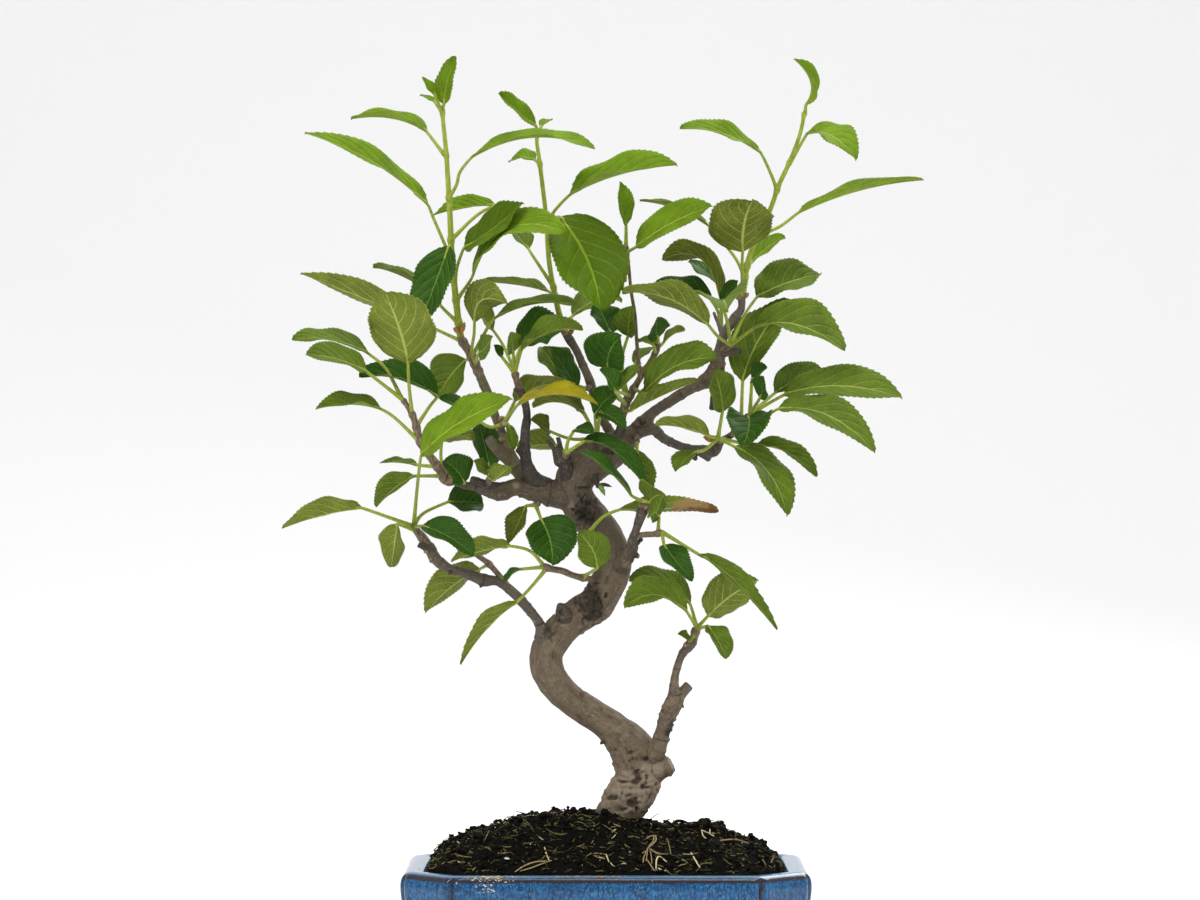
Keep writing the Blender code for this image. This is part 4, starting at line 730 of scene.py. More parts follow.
# each leafy stem: its stems down the middle (x, y, radius, depth), then its leaves (x and y down the
# stalk, then of the midrib's base, middle and tip; half width, turn, depths of base and tip, tone)
foliage = {
    "leader_shoot_left": {"stems": [
        [(482, 380, 4.4, 4), (471, 355, 4.4, 4), (463, 342, 4.2, 3), (460, 333, 3.6, 3), (456, 300, 3.3, 2),
         (452, 260, 3.1, 0), (450, 215, 2.8, -1), (448, 180, 2.5, -2), (446, 150, 2.3, -2),
         (443, 120, 2, -2), (442, 105, 1.8, -2)],
    ], "leaves": [
        ((442, 110, 444, 104, 447, 84, 455, 56), 13, 35, -2, -10, "young"),
        ((442, 113, 435, 95, 428, 87, 422, 77), 7, 50, -6, -13, "young"),
        ((442, 112, 435, 102, 428, 98, 420, 95), 5, 60, 2, 5, "young"),
        ((444.5, 155, 427, 132, 392, 118, 351, 119), 15, 77, 6, 20, "young"),
        ((452, 261, 445, 245, 433, 217, 428, 205, 373, 162, 305, 133), 18, 62, -8, -26, "young"),
        ((449, 198, 456.6, 184.6, 460, 172, 472, 157, 533, 137, 595, 149), 17, 72, -8, -24, "young"),
        ((451, 240, 476, 216, 495, 205, 465, 207, 434, 215), 13, 52, 10, 16, "young"),
        ((455, 278, 458, 264, 464, 248, 494, 228, 523, 203), 24, 55, -12, -30, "deep"),
        ((451.6, 256, 449, 246, 434, 287, 420, 324), 23, 22, -16, -34, "deep"),
        ((458, 323, 441, 306, 438, 298, 405, 277, 373, 267), 13, 78, -4, -22, "mid"),
        ((457, 300, 470, 281, 473, 275, 508, 229, 566, 232), 25, 58, -16, -42, "young"),
        ((478, 371, 472, 352, 474, 335, 474.5, 322, 482, 300, 508, 304), 20, 155, -10, -24, "pale"),
        ((472, 357, 488, 327, 495, 318, 538, 303, 580, 307), 15, 72, -6, -14, "mid"),
        ((463, 342, 429, 326, 371, 301, 301, 273.5), 20, 122, 14, 32, "pale"),
        ((472, 358, 466, 360, 452, 374, 437, 398), 25, 20, 14, 32, "mid"),
        ((475, 364, 479, 353, 486, 347, 492, 337), 13, 45, -12, -26, "mid"),
    ]},
    "leader_shoot_centre": {"stems": [
        [(568, 338, 4, 6), (562, 324, 3.4, 6), (555, 295, 2.7, 8), (549, 260, 2.5, 9), (546, 216, 2.3, 10),
         (540, 165, 2.1, 10), (537, 143, 1.9, 10), (537, 130, 1.7, 10)],
    ], "leaves": [
        ((537, 133, 536, 126, 515, 109, 499, 92.6), 12, 45, 6, -8, "young"),
        ((537, 134, 541, 127, 546, 122, 552, 120), 6, 55, 13, 20, "young"),
        ((540, 164, 535, 160, 522, 157, 509, 162), 12, 62, 14, 24, "young"),
        ((546, 224, 556, 209, 569.6, 195, 620, 174, 677, 165), 24, 62, 4, -18, "young"),
        ((546, 220, 560, 217, 588, 262, 600, 310), 40, 22, -8, -34, "young"),
        ((553.5, 287, 533, 256, 528.6, 248.8, 515, 232, 505, 212), 16, 50, 22, 36, "mid"),
        ((555, 296, 548, 291, 515, 284, 480, 282), 12, 74, 16, 30, "mid"),
        ((562, 325, 573, 315.7, 597, 300, 622, 301), 17, 58, 18, 34, "mid"),
    ]},
    "leader_shoot_right": {"stems": [
        [(742, 300, 3.6, 8), (743, 288, 3.2, 8), (748, 262, 2.9, 8), (757, 235, 2.6, 7), (770, 210, 2.5, 6),
         (779, 185, 2.4, 4), (790, 161, 2.2, 2), (800, 134, 2, 0), (805, 110, 1.8, 0)],
    ], "leaves": [
        ((805, 114, 806, 105, 811, 82, 794, 59), 13, 72, -2, -12, "young"),
        ((777, 190, 771, 174, 761, 153, 722, 133, 680, 128), 16, 60, -8, -26, "young"),
        ((790, 163, 807, 134, 832, 136, 856, 160), 21, 52, -12, -30, "young"),
        ((757, 236, 779, 227, 798, 213, 860, 190, 924, 180), 15, 80, 12, 26, "young"),
        ((743, 290, 742, 270, 742.7, 251.6, 744, 224, 752.5, 200.3), 36, 160, -8, -22, "olive"),
        ((747, 266, 752, 262, 768, 247, 785, 237), 15, 50, 20, 30, "young"),
        ((745, 277, 734, 256, 708.8, 225.7, 675, 208, 640, 201), 11, 84, 24, 38, "pale"),
    ]},
    "spray_left_mid": {"stems": [
        [(456, 481, 4.6, -10), (446, 479, 5, -11), (439, 468, 4.6, -12), (429, 455, 4, -12),
         (421, 443, 4, -12), (416, 426, 3.4, -12), (412, 414, 2.9, -12), (402, 398, 2.4, -13)],
    ], "leaves": [
        ((412, 415, 409, 385, 408, 363.5, 400, 330, 384.6, 291.6), 35, 165, -24, -42, "pale"),
        ((416, 427, 430, 406, 437, 397, 403, 379, 359, 375.5), 23, 55, -4, -12, "deep"),
        ((402, 399, 386, 369, 369, 354, 333, 340, 292, 339.5), 18, 66, -8, -22, "mid"),
        ((403, 400, 367, 372, 337, 359, 306, 355), 19, 55, -22, -38, "mid"),
        ((420, 442, 395, 418, 381, 409, 350, 404, 316, 409), 15, 62, -16, -30, "mid"),
        ((438, 467, 417, 465, 398, 462, 380, 463), 11, 76, -8, 0, "mid"),
        ((444, 476, 415, 476, 395, 488, 376, 507), 17, 50, -18, -30, "mid"),
        ((449, 480, 464, 483, 456, 470, 443, 461), 18, 35, -24, -32, "deep"),
        ((445, 478, 441, 458, 442, 441, 458, 435, 475, 440), 13, 135, 4, 12, "pale"),
    ]},
    "spray_left_low": {"stems": [
        [(430.5, 549, 5, -8), (421.7, 536.9, 5, -8), (417, 531, 3.6, -8), (413, 524, 2.8, -8)],
    ], "leaves": [
        ((413, 526, 362, 508, 322, 515, 282, 528.5), 18, 118, -16, -24, "pale"),
        ((414, 530, 397, 524, 394, 545, 391, 567), 16, 140, -24, -38, "pale"),
        ((414, 527, 422, 526, 447, 536, 473.7, 555.3), 19, 45, -18, -34, "deep"),
        ((414, 525, 424, 513, 448, 502, 466, 502, 483, 503), 20, 35, -2, 10, "deep"),
        ((414, 524, 417, 490, 421, 456, 458, 424, 512, 399), 26, 52, -28, -46, "young"),
    ]},
    "twig_left_low": {"stems": [
        [(508, 586, 3, -10), (490, 565, 2.8, -6), (476, 554, 2.6, -4), (469.4, 544, 2.2, -4)],
    ], "leaves": [
        ((489, 564, 480, 569, 452, 586, 425.5, 612.7), 21, 140, 6, 16, "pale"),
    ]},
    "twig_trunk_left": {"stems": [
        [(598, 580, 3.2, 0), (582, 577.6, 3.2, -11), (572, 575, 3.2, -15), (562.5, 571, 3.4, -17),
         (550, 568.6, 3.2, -18), (540, 565, 2.6, -18)],
    ], "leaves": [
        ((546, 568, 530, 551, 510.6, 546, 480, 551, 451, 562), 17, 122, -22, -28, "pale"),
        ((545, 567, 522, 569, 513, 573, 505, 582), 8, 68, -26, -32, "deep"),
        ((547, 568, 532, 586, 517, 602, 487, 628, 460.7, 664.8), 14, 118, -20, -30, "pale"),
        ((583, 577, 597, 568, 592, 549, 578, 533), 18, 18, -30, -36, "mid"),
    ]},
    "spray_left_under": {"stems": [
        [(540, 494, 3.2, -8), (536, 507, 3.6, -9)],
    ], "leaves": [
        ((536, 506, 541, 519, 550, 541, 552.5, 565), 30, 15, -18, -28, "deep"),
        ((535, 505, 526, 506, 518, 524, 508.4, 543.4), 13, 40, -12, -14, "olive"),
    ]},
    "spray_left_spur": {"stems": [
        [(520.6, 392, 3.6, -10), (516, 378, 3.4, -10), (514.9, 370, 3, -10)],
    ], "leaves": [
        ((515, 371, 517, 357, 521.5, 344.7, 541, 330, 563, 330), 24, 38, -2, 4, "deep"),
        ((515, 372, 521.5, 350, 550, 332, 583, 329.8), 17, 58, -22, -38, "mid"),
        ((515, 372, 513, 352, 512, 343, 511, 332), 10, 40, -18, -34, "mid"),
        ((515, 371, 503, 345, 493, 330, 483, 317, 472, 306), 14, 125, 8, 18, "mid"),
        ((515, 374, 502, 357, 498, 351, 494, 345), 6, 40, -14, -18, "deep"),
    ]},
    "spray_left_inner": {"stems": [
        [(499, 426, 3, 6), (504, 424, 3.2, 0)],
    ], "leaves": [
        ((504, 424, 514.9, 401, 542, 385, 572.9, 385.3), 18, 118, -8, -18, "pale"),
        ((504, 424, 516.5, 406, 555, 394, 598, 405), 15, 70, -20, -38, "gold"),
        ((504, 424, 508, 424, 511, 437, 513, 451), 7, 35, -20, -26, "mid"),
        ((503, 424, 490, 427, 477, 419, 458, 406, 440, 398), 14, 60, 16, 28, "deep"),
    ]},
    "spray_left_inner_low": {"stems": [
        [(489, 488, 3, -11), (489, 477, 3.2, -16)],
    ], "leaves": [
        ((489, 477, 489.6, 470, 485, 446, 478, 421), 18, 22, 12, 22, "deep"),
        ((489, 477, 488, 472, 481, 467, 474, 461), 9, 45, -22, -28, "mid"),
        ((489, 477, 494, 480, 501, 474, 510, 466), 13, 140, -24, -32, "pale"),
    ]},
    "spray_inner_spur": {"stems": [
        [(564, 462, 3, -12), (566, 453, 3.2, -19)],
    ], "leaves": [
        ((566, 453, 583, 442, 616, 452, 650, 495.5), 16, 60, -27, -32, "deep"),
        ((566, 453, 568, 441, 574, 431, 583, 429, 593, 434), 9, 48, -20, -26, "deep"),
        ((566, 453, 556, 445, 537, 445, 517, 449), 16, 140, 6, 16, "pale"),
    ]},
    "spray_trunk_top": {"stems": [
        [(601, 452, 3.4, 0), (597, 438, 3.4, -4)],
    ], "leaves": [
        ((597, 438, 595, 416, 604, 402, 617, 393), 17, 40, -10, -22, "deep"),
        ((597, 438, 600, 413, 611, 417, 625, 429), 13, 45, -18, -34, "deep"),
        ((597, 438, 592, 428, 583.6, 414, 560, 402, 532.7, 407), 14, 108, 8, 20, "pale"),
        ((597, 438, 591, 426, 584.5, 413, 575, 404, 566, 396), 10, 60, 0, -6, "olive"),
        ((597, 438, 572, 439, 549, 431, 540, 425, 531, 419), 12, 45, -6, -12, "olive"),
    ]},
    "leaf_under_right_branch": {"stems": [
        [(637, 433, 3, 1), (637, 443, 2.8, -8)],
    ], "leaves": [
        ((637, 443, 637, 450, 642, 470, 652, 492), 13, 40, -12, -18, "mid"),
    ]},
    "spray_centre_left": {"stems": [
        [(591, 386, 3, 8), (586, 389, 2.8, 3)],
    ], "leaves": [
        ((586, 389, 577, 389, 564, 368, 549.7, 348), 15, 40, -4, -14, "deep"),
        ((586, 389, 564, 381, 553, 364, 541, 347), 21, 32, 12, 24, "mid"),
        ((586, 389, 565, 390, 551, 388, 537, 394), 9, 70, 16, 26, "young"),
    ]},
    "spray_centre": {"stems": [
        [(621.4, 421, 4, -4), (626, 403, 3.8, -5), (632, 392, 3.6, -6), (640, 378, 3.2, -6),
         (650, 362, 2.8, -7), (657, 349, 2.4, -8), (658, 341, 2.2, -8)],
        [(640, 378, 2.4, -6), (637, 345, 1.9, -2), (635, 315, 1.8, 0), (631, 290, 1.7, 0),
         (628, 258, 1.6, -2), (626, 244, 1.5, -2)],
    ], "leaves": [
        ((626, 404, 612, 392, 608, 368, 610, 351, 621, 336), 27, 22, -16, -28, "deep"),
        ((626, 405, 615, 391, 609, 380, 600, 369), 14, 50, -26, -38, "deep"),
        ((630, 396, 617, 391, 628, 378, 641, 363), 11, 60, -30, -42, "mid"),
        ((628, 400, 622, 362, 628, 336, 629, 321, 631, 306), 16, 32, -14, -24, "mid"),
        ((628, 400, 613, 362, 611, 334, 604, 318, 597, 302), 18, 35, 8, 16, "deep"),
        ((634, 389, 644, 393, 677, 366, 717, 358), 25, 55, -18, -38, "mid"),
        ((624, 410, 630, 411, 660, 396, 698, 380), 15, 115, -14, -26, "pale"),
        ((658, 344, 658, 338, 656, 328, 658, 317), 14, 42, -13, -24, "deep"),
        ((655, 353, 654, 346, 646, 341, 637, 343), 9, 62, -16, -26, "young"),
        ((656, 350, 663, 343, 673, 334, 685, 330), 9, 112, -2, 8, "pale"),
        ((645, 370, 635, 364, 644, 353, 657, 348), 10, 62, 6, 14, "mid"),
        ((626, 247, 626, 225, 621, 205, 620, 182), 14, 48, -8, -18, "young"),
        ((627, 252, 636, 247, 670, 224, 712, 206), 23, 50, -8, -28, "young"),
    ]},
    "spray_right_top": {"stems": [
        [(722, 351, 3.4, 7), (731, 345, 3.2, -1)],
    ], "leaves": [
        ((731, 345, 744, 316, 757, 297, 787, 283, 821, 274), 27, 45, 22, 36, "mid"),
        ((731, 345, 754, 328, 797, 325, 845, 351), 29, 48, -12, -38, "mid"),
        ((731, 345, 719.5, 338, 707.9, 324.6, 668, 298, 622, 292), 25, 118, -16, -30, "pale"),
        ((731, 345, 727, 321, 722, 303, 724, 301, 728, 310), 31, 6, -14, -52, "mid"),
    ]},
    "spray_right_back": {"stems": [
        [(723.5, 338, 3, 8), (721, 328, 3, 16)],
    ], "leaves": [
        ((721, 328, 721, 302, 700, 258, 662, 260), 19, 112, 26, 44, "olive"),
        ((721, 328, 722, 286, 706, 272, 689, 261), 15, 50, 40, 54, "deep"),
        ((721, 328, 718, 312, 711, 300, 684, 287, 655, 284), 15, 62, 34, 46, "deep"),
        ((721, 328, 722, 302, 729, 291, 738, 281), 10, 50, 20, 28, "deep"),
    ]},
    "spray_right_mid": {"stems": [
        [(731, 435.6, 3.4, -4), (742, 424, 3.4, -6), (750, 414, 3, -9)],
    ], "leaves": [
        ((741, 425, 742.7, 381, 760, 338, 790, 300), 27, 35, 4, 20, "mid"),
        ((750, 414, 752, 380, 759, 373, 767, 368), 12, 48, -16, -28, "deep"),
        ((750, 414, 760, 398, 763, 387, 763, 376), 11, 50, -24, -36, "deep"),
        ((750, 414, 775, 393, 800, 379, 826, 376), 19, 42, 12, 26, "pale"),
        ((750, 414, 783.8, 395, 840, 386, 902, 398), 25, 48, -16, -38, "mid"),
        ((749, 415, 763, 417, 778, 409, 829, 416, 875, 453), 22, 45, -30, -54, "mid"),
        ((746, 419, 748, 417, 749, 427, 743, 448), 26, 12, -16, -44, "deep"),
    ]},
    "spray_right_low": {"stems": [
        [(721.4, 443, 3, -3), (718, 438, 3.4, -9)],
    ], "leaves": [
        ((718, 438, 722.4, 412, 720, 391, 714, 370), 19, 42, -16, -26, "mid"),
        ((718, 438, 709, 436, 682, 427, 655, 425), 15, 118, -14, -24, "pale"),
        ((718, 438, 706, 449, 696, 452, 685, 460, 676, 471), 13, 50, -20, -30, "mid"),
        ((718, 438, 734.4, 446.7, 768, 472, 787.2, 516), 21, 45, -20, -40, "mid"),
        ((718, 438, 755, 446, 787, 452, 816.5, 477), 14, 50, 12, 22, "mid"),
    ]},
    "spray_lower_mid": {"stems": [
        [(634, 536, 3, -20), (645, 534.6, 3, -22), (655, 534, 2.8, -25), (664, 532, 2.6, -27)],
    ], "leaves": [
        ((658, 533, 659, 517, 654, 508, 652, 498), 15, 45, -22, -32, "pale"),
        ((662, 532, 664, 545, 675, 560, 692.4, 581), 15, 32, -34, -46, "deep"),
        ((662, 532, 699, 554.5, 735, 581, 777, 630), 13, 50, -20, -40, "mid"),
    ]},
    "spray_lower_mid_tip": {"stems": [
        [(642.6, 511, 3.2, -26), (642, 501, 3.2, -29)],
    ], "leaves": [
        ((642, 501, 632, 496, 606, 468, 579, 451.6), 15, 72, -36, -50, "deep"),
        ((642, 501, 650, 502, 656, 496, 664, 495), 22, 16, -32, -60, "mid"),
    ]},
    "leaf_trunk_front": {"stems": [
        [(587, 538, 3, -8), (588, 533, 2.6, -14)],
    ], "leaves": [
        ((588, 533, 603, 517, 618.7, 510, 670, 508, 718.5, 511), 15, 104, -16, -8, "pale"),
    ]},
    "spray_low_right": {"stems": [
        [(693.4, 640, 4.2, -16), (697, 626, 3.6, -17)],
    ], "leaves": [
        ((697, 628, 693, 613, 690, 604, 660, 580, 629, 581), 18, 60, -10, -4, "mid"),
        ((697, 628, 687, 612, 655, 595, 624.6, 608), 21, 50, -28, -46, "mid"),
        ((697, 628, 708, 616, 730, 596, 758, 580), 27, 142, -20, -30, "pale"),
        ((697, 629, 708, 626, 718, 641, 726, 659), 15, 42, -28, -42, "mid"),
        ((696, 632, 690, 641, 685, 637, 678, 634), 7, 60, -22, -27, "mid"),
    ]},
}


shoots = {
    "greenAbove": {"leader_shoot_left": 331, "leader_shoot_centre": 334, "leader_shoot_right": 292},
    "nodeSwell": 0.55 * mm,
    "hairs": 420,
    "hairLength": 0.9 * mm,
    "hairRadius": 0.035 * mm,
    "spacing": 0.8 * mm,
    "uneven": 0.05,
    "nodeReach": 0.0016,
    "sides": 14,
    "turning": 10,             # pixels over which a green shoot turns to bark
    "green": (0.180, 0.240, 0.014),
    "greenLight": (0.320, 0.385, 0.050),
    "blush": (0.28, 0.20, 0.04),
    "brown": (0.085, 0.055, 0.032),
    "brownLight": (0.24, 0.18, 0.115),
    "down": (0.62, 0.66, 0.50),
}


def shootMaterial():
    # a young shoot is green with faint streaks and turns to brown ringed bark with its age
    made = Nodes("shoot")
    age = made.mark("age")
    streak = made.noise(made.where((1, 1, 0.2)), 1500.0, 3.0)
    patch = made.noise(made.where(), 210.0, 4.0)
    turned = made.ragged(patch, 0.8, age)
    green = made.mixed(made.band(streak, 0.3, 0.7), shoots["green"], shoots["greenLight"])
    green = made.mixed(made.band(patch, 0.52, 0.72, 0.0, 0.55), green, shoots["blush"])
    brown = made.mixed(made.band(streak, 0.35, 0.7), shoots["brown"], shoots["brownLight"])
    colour = made.mixed(made.band(turned, 0.3, 0.7), green, brown)
    normal = made.bump(made.sum("ADD", streak, patch), 0.0004, 0.6)
    return made.finish(colour, 0.56, normal, Sheen_Weight=0.1, Specular_IOR_Level=0.2)


def stemParts(name, stem, leaves, draw):
    # a stem swells by a bell round each leaf's root, and its end is rounded over
    points = [place(x, y, depth) for x, y, _, depth in stem]
    values = [(radius * view["pixel"], y) for _, y, radius, _ in stem]
    path, carried = smoothPath(points, values, shoots["spacing"])
    radii, heights = carried[:, 0], carried[:, 1]
    roots = [leaf[0][:2] for leaf in leaves]
    roots = np.array([place(*root, stemDepth([stem], *root)) for root in roots])
    gap = np.linalg.norm(path[:, None] - roots[None], axis=2).min(1)
    radii = radii * (1 + shoots["uneven"] * latticeNoise(path, 3 * mm, 5))
    radii = radii + shoots["nodeSwell"] * bell(gap, shoots["nodeReach"])
    left = np.linalg.norm(path - path[-1], axis=1)
    radii = radii * np.sqrt(np.clip(left / shoots["nodeReach"], 0.03, 1))
    limit = shoots["greenAbove"].get(name)
    age = np.ones(len(path)) if limit is None else np.clip((heights - limit) / shoots["turning"], 0, 1)
    parts = [tubePart(path, radii, shoots["sides"], len(leafTones) * 2, age=age)]
    if limit is not None:
        parts.append(hairPart(path, radii, heights < limit, draw))
    return parts


def hairPart(path, radii, allowed, draw):
    # down: thin three-sided spikes that stand out from the skin at random
    places = np.flatnonzero(allowed)
    count = shoots["hairs"]
    at = draw.choice(places, count)
    along, side, other = pathFrame(path)
    angle = draw.uniform(0, 2 * math.pi, count)[:, None]
    out = unit(side[at] * np.cos(angle) + other[at] * np.sin(angle))
    shift = draw.uniform(-0.4, 0.4, (count, 1)) * mm
    root = path[at] + along[at] * shift + out * radii[at][:, None] * 0.9
    lean = unit(out + along[at] * draw.uniform(-0.3, 0.9, (count, 1)))
    tip = root + lean * shoots["hairLength"] * draw.uniform(0.5, 1.1, (count, 1))
    across = unit(np.cross(lean, along[at] + 0.01))
    third = np.cross(lean, across)
    turns = roundAngles(3)[None, :, None]
    ring = across[:, None] * np.cos(turns) - third[:, None] * np.sin(turns)
    foot = root[:, None] + shoots["hairRadius"] * ring
    points = np.concatenate([foot, tip[:, None]], 1).reshape(-1, 3)
    start = np.arange(count)[:, None] * 4
    faces = np.concatenate([
        start + np.array([[a, b, 3, 3]]) for a, b in ((1, 0), (2, 1), (0, 2))
    ] + [start + np.array([[0, 1, 2, 2]])])
    return {"points": points, "faces": faces, "tone": len(leafTones) * 2 + 1}


def buildFoliage():
    # every leafy stem of the model becomes one piece of stem, stalks, blades and down
    materials = [leafMaterial(tone, under) for tone in leafTones for under in (False, True)]
    materials += [shootMaterial(), plainMaterial("down", shoots["down"], 0.7)]
    marks = ("along", "across", "shade", "brown", "age")
    number = 0
    worst = 0.0
    for name, spray in foliage.items():
        model = meshPoints(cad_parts[name].data)
        draw = np.random.default_rng(number + 3)
        parts = []
        for stem in spray["stems"]:
            parts += stemParts(name, stem, spray["leaves"], draw)
        for leaf in spray["leaves"]:
            steps, _ = leafSteps(leaf)
            gap, shift = chosenShift(leaf, spray["stems"], model, np.array(steps))
            worst = max(worst, gap / (len(steps) - 1))
            tone = leafTones.index("bright" if number in leafForm["bright"] else leaf[-1])
            parts += leafParts(leaf, spray["stems"], number, shift, tone)
            number += 1
        piece = makePiece(f"{name}_fine", parts, materials, marks)
        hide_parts(name)
        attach(piece, "root")
    print(f"foliage: {number} leaves, furthest midrib from the model {worst * 1000:.2f} mm")


# down each limb's middle line: x, y and radius in pixels, and the depth
limbs = {
    "trunk": [
        (616, 862, 27, 0), (616, 838, 26, 0), (617, 818, 23, 0), (627, 800, 23.5, 0), (639, 777, 24.5, 0),
        (632, 750, 23, 1), (611, 727, 16.5, 1), (586, 710, 15.2, -1), (562, 692, 15.5, -3),
        (547, 668, 16.5, -4), (550, 645, 16.8, -3), (572, 620, 16.5, -1), (597, 603, 17, 1),
        (608, 583, 18, 2), (615, 562, 16.5, 2), (608, 540, 17, 1), (592, 520, 18.5, -1), (576, 498, 18, -3),
        (575, 478, 19, -3), (592, 462, 20, -1), (613, 449, 18, 1), (628, 438, 12, 2),
    ],
    "scar_right": [(645, 772, 16, -2), (664, 767, 11, -5), (671, 764, 9, -6)],
    "low_right": [
        (640, 768, 12, -2), (656, 752, 9, -7), (662, 735, 8, -9), (668, 715, 8.5, -11), (675, 700, 9, -13),
        (674, 690, 5.5, -14), (676, 672, 4, -15), (682, 655, 4.2, -16), (690, 645, 5.5, -16),
        (694, 637, 4.6, -16),
    ],
    "low_right_stub": [(675, 702, 6, -13), (681, 694, 5.6, -12), (689, 685, 5, -10)],
    "low_left": [
        (549, 650, 9, -4), (541, 638, 6, -8), (540, 624.7, 5, -9), (528, 608.4, 5.2, -10),
        (513.8, 593.2, 5, -10), (497.6, 581.3, 4.6, -9), (483.5, 580, 6, -9), (467, 573.7, 5, -8),
        (452, 569.4, 4.6, -8), (443.4, 565, 5.5, -8), (434.7, 557.5, 6, -8), (429.5, 547, 5.6, -8),
    ],
    "low_left_stub": [(432, 552, 4, -8), (424, 547, 3.4, -11), (418.4, 544.4, 3, -12)],
    "mid_left": [
        (570, 497, 14, -4), (550, 493, 13, -6), (530, 490, 10, -8), (515, 487, 8.5, -9), (500, 492, 9, -10),
        (487, 490, 7, -10), (474, 486, 4.6, -10), (466, 485.5, 4, -10), (454, 480.5, 4.6, -10),
    ],
    "mid_left_stub": [(500, 489, 7, -10), (488, 485.5, 5, -12), (470.6, 478.5, 3.5, -13)],
    "leader_base": [
        (546, 488, 9, -5), (530, 483, 9, -2), (523, 475.7, 8, 1), (514, 464, 7.5, 3), (508, 451, 6, 5),
        (503.6, 437, 4.6, 6), (500, 426.6, 4.2, 6), (497, 422, 4.2, 6), (490, 400, 5, 5),
        (481, 378, 4.8, 4),
    ],
    "leader_stub": [(512, 463, 6.5, 3), (495, 447, 5.5, 1), (488, 437, 4.6, 0)],
    "dark_upright": [
        (548, 487, 9, -6), (534, 479, 8, -10), (526.8, 465, 6.5, -12), (525, 444, 5, -12),
        (525.4, 430, 4.8, -12), (527, 416, 4, -12), (524, 399, 3.8, -11), (519.6, 390, 3.8, -10),
    ],
    "dark_upright_stub": [(525, 456, 4, -12), (516.5, 449, 2.8, -14)],
    "inner_knob": [(568, 478, 8, -8), (565.7, 467, 6.5, -12), (561, 458, 8.5, -13), (557, 452, 5, -13)],
    "inner_knob_stub": [(557, 454, 2.6, -13), (547.5, 440, 2.2, -16)],
    "inner_knob_spur": [(562, 454, 2.8, -13), (558, 437, 2.4, -11)],
    "upper_middle": [
        (613, 446, 9, 2), (611, 434, 5.5, 5), (600, 415, 4.6, 7), (593.6, 393, 4.5, 8),
        (588.7, 378, 4.4, 8), (582.8, 364.6, 4.3, 8), (576, 349.7, 4.3, 7), (567, 335.5, 4.4, 6),
    ],
    "upper_right": [
        (622, 441, 9, 2), (632, 434, 8, 3), (644, 424, 9.5, 4), (651.5, 413.7, 5.6, 5),
        (671.4, 400.4, 5.5, 6), (691.8, 388, 5.5, 7), (704, 382, 7, 8), (716, 370, 8.5, 8),
        (719.5, 351, 5.6, 8), (724, 335, 5, 8), (734.6, 318, 4.8, 8), (741, 309.5, 4, 8),
        (742, 297, 3.6, 8),
    ],
    "upper_right_stub": [(720, 353, 5, 8), (731, 351.5, 4.4, 5), (741, 351, 4, 3)],
    "upper_right_spur": [(717, 380, 3.6, 7), (713, 396, 2.6, 4), (712, 410, 3.2, 2)],
    "upper_right_twig": [(723, 338, 3.6, 8), (720, 328, 2.4, 11), (714, 313, 1.9, 14)],
    "broken": [
        (638, 432, 7, 1), (653, 429, 6, -2), (663, 438, 5, -3), (677.6, 445.3, 4.6, -4),
        (690, 449, 4.6, -4), (702, 450.4, 5.6, -4), (714, 450.5, 6, -4), (721.4, 441.2, 3.8, -4),
        (728.6, 436.6, 3.4, -4), (734, 434, 3.4, -4),
    ],
    "broken_stub": [(684, 448, 4.2, -4), (697, 459.6, 2.8, -7)],
    "broken_stub_right": [(698, 451, 4.4, -4), (710, 460.6, 2.4, -2)],
    "upper_centre": [(617, 441, 8, 0), (620, 430, 4.6, -3), (622, 418, 4.2, -4)],
    "front_twig": [
        (618, 566, 9, -3), (626, 559, 7, -9), (632, 547.6, 6, -16), (633, 539.4, 5, -19),
        (637, 527, 4.2, -23), (642, 512, 5.6, -26), (643.4, 507, 4.4, -26.5),
    ],
    "front_twig_stub": [(630, 552, 3.6, -12), (639, 556.7, 2.6, -16)],
    "front_twig_spur": [(633, 543, 3.4, -17), (640, 541.6, 2.6, -16)],
    "left_wound": [(566, 618, 9, -6), (561, 611, 6, -11), (561, 604, 3.4, -13)],
    "dark_wound": [(592, 610, 11, -6), (590, 602, 10, -9)],
    "upper_cavity": [(590, 513, 10, -8), (586, 509, 9, -10)],
    "cavity_spur_left": [(587, 506, 3, -11), (586, 496.5, 2, -14)],
    "cavity_spur_right": [(592, 509, 3, -10), (596, 502, 2, -14)],
    "trunk_bud": [(590, 536, 6, -8), (585, 541, 4, -11)],
    "upper_spur": [(594, 474, 4, -8), (598, 486, 2.6, -12)],
    "upper_knot": [(606, 452, 9, -6), (604, 447, 7, -8)],
}


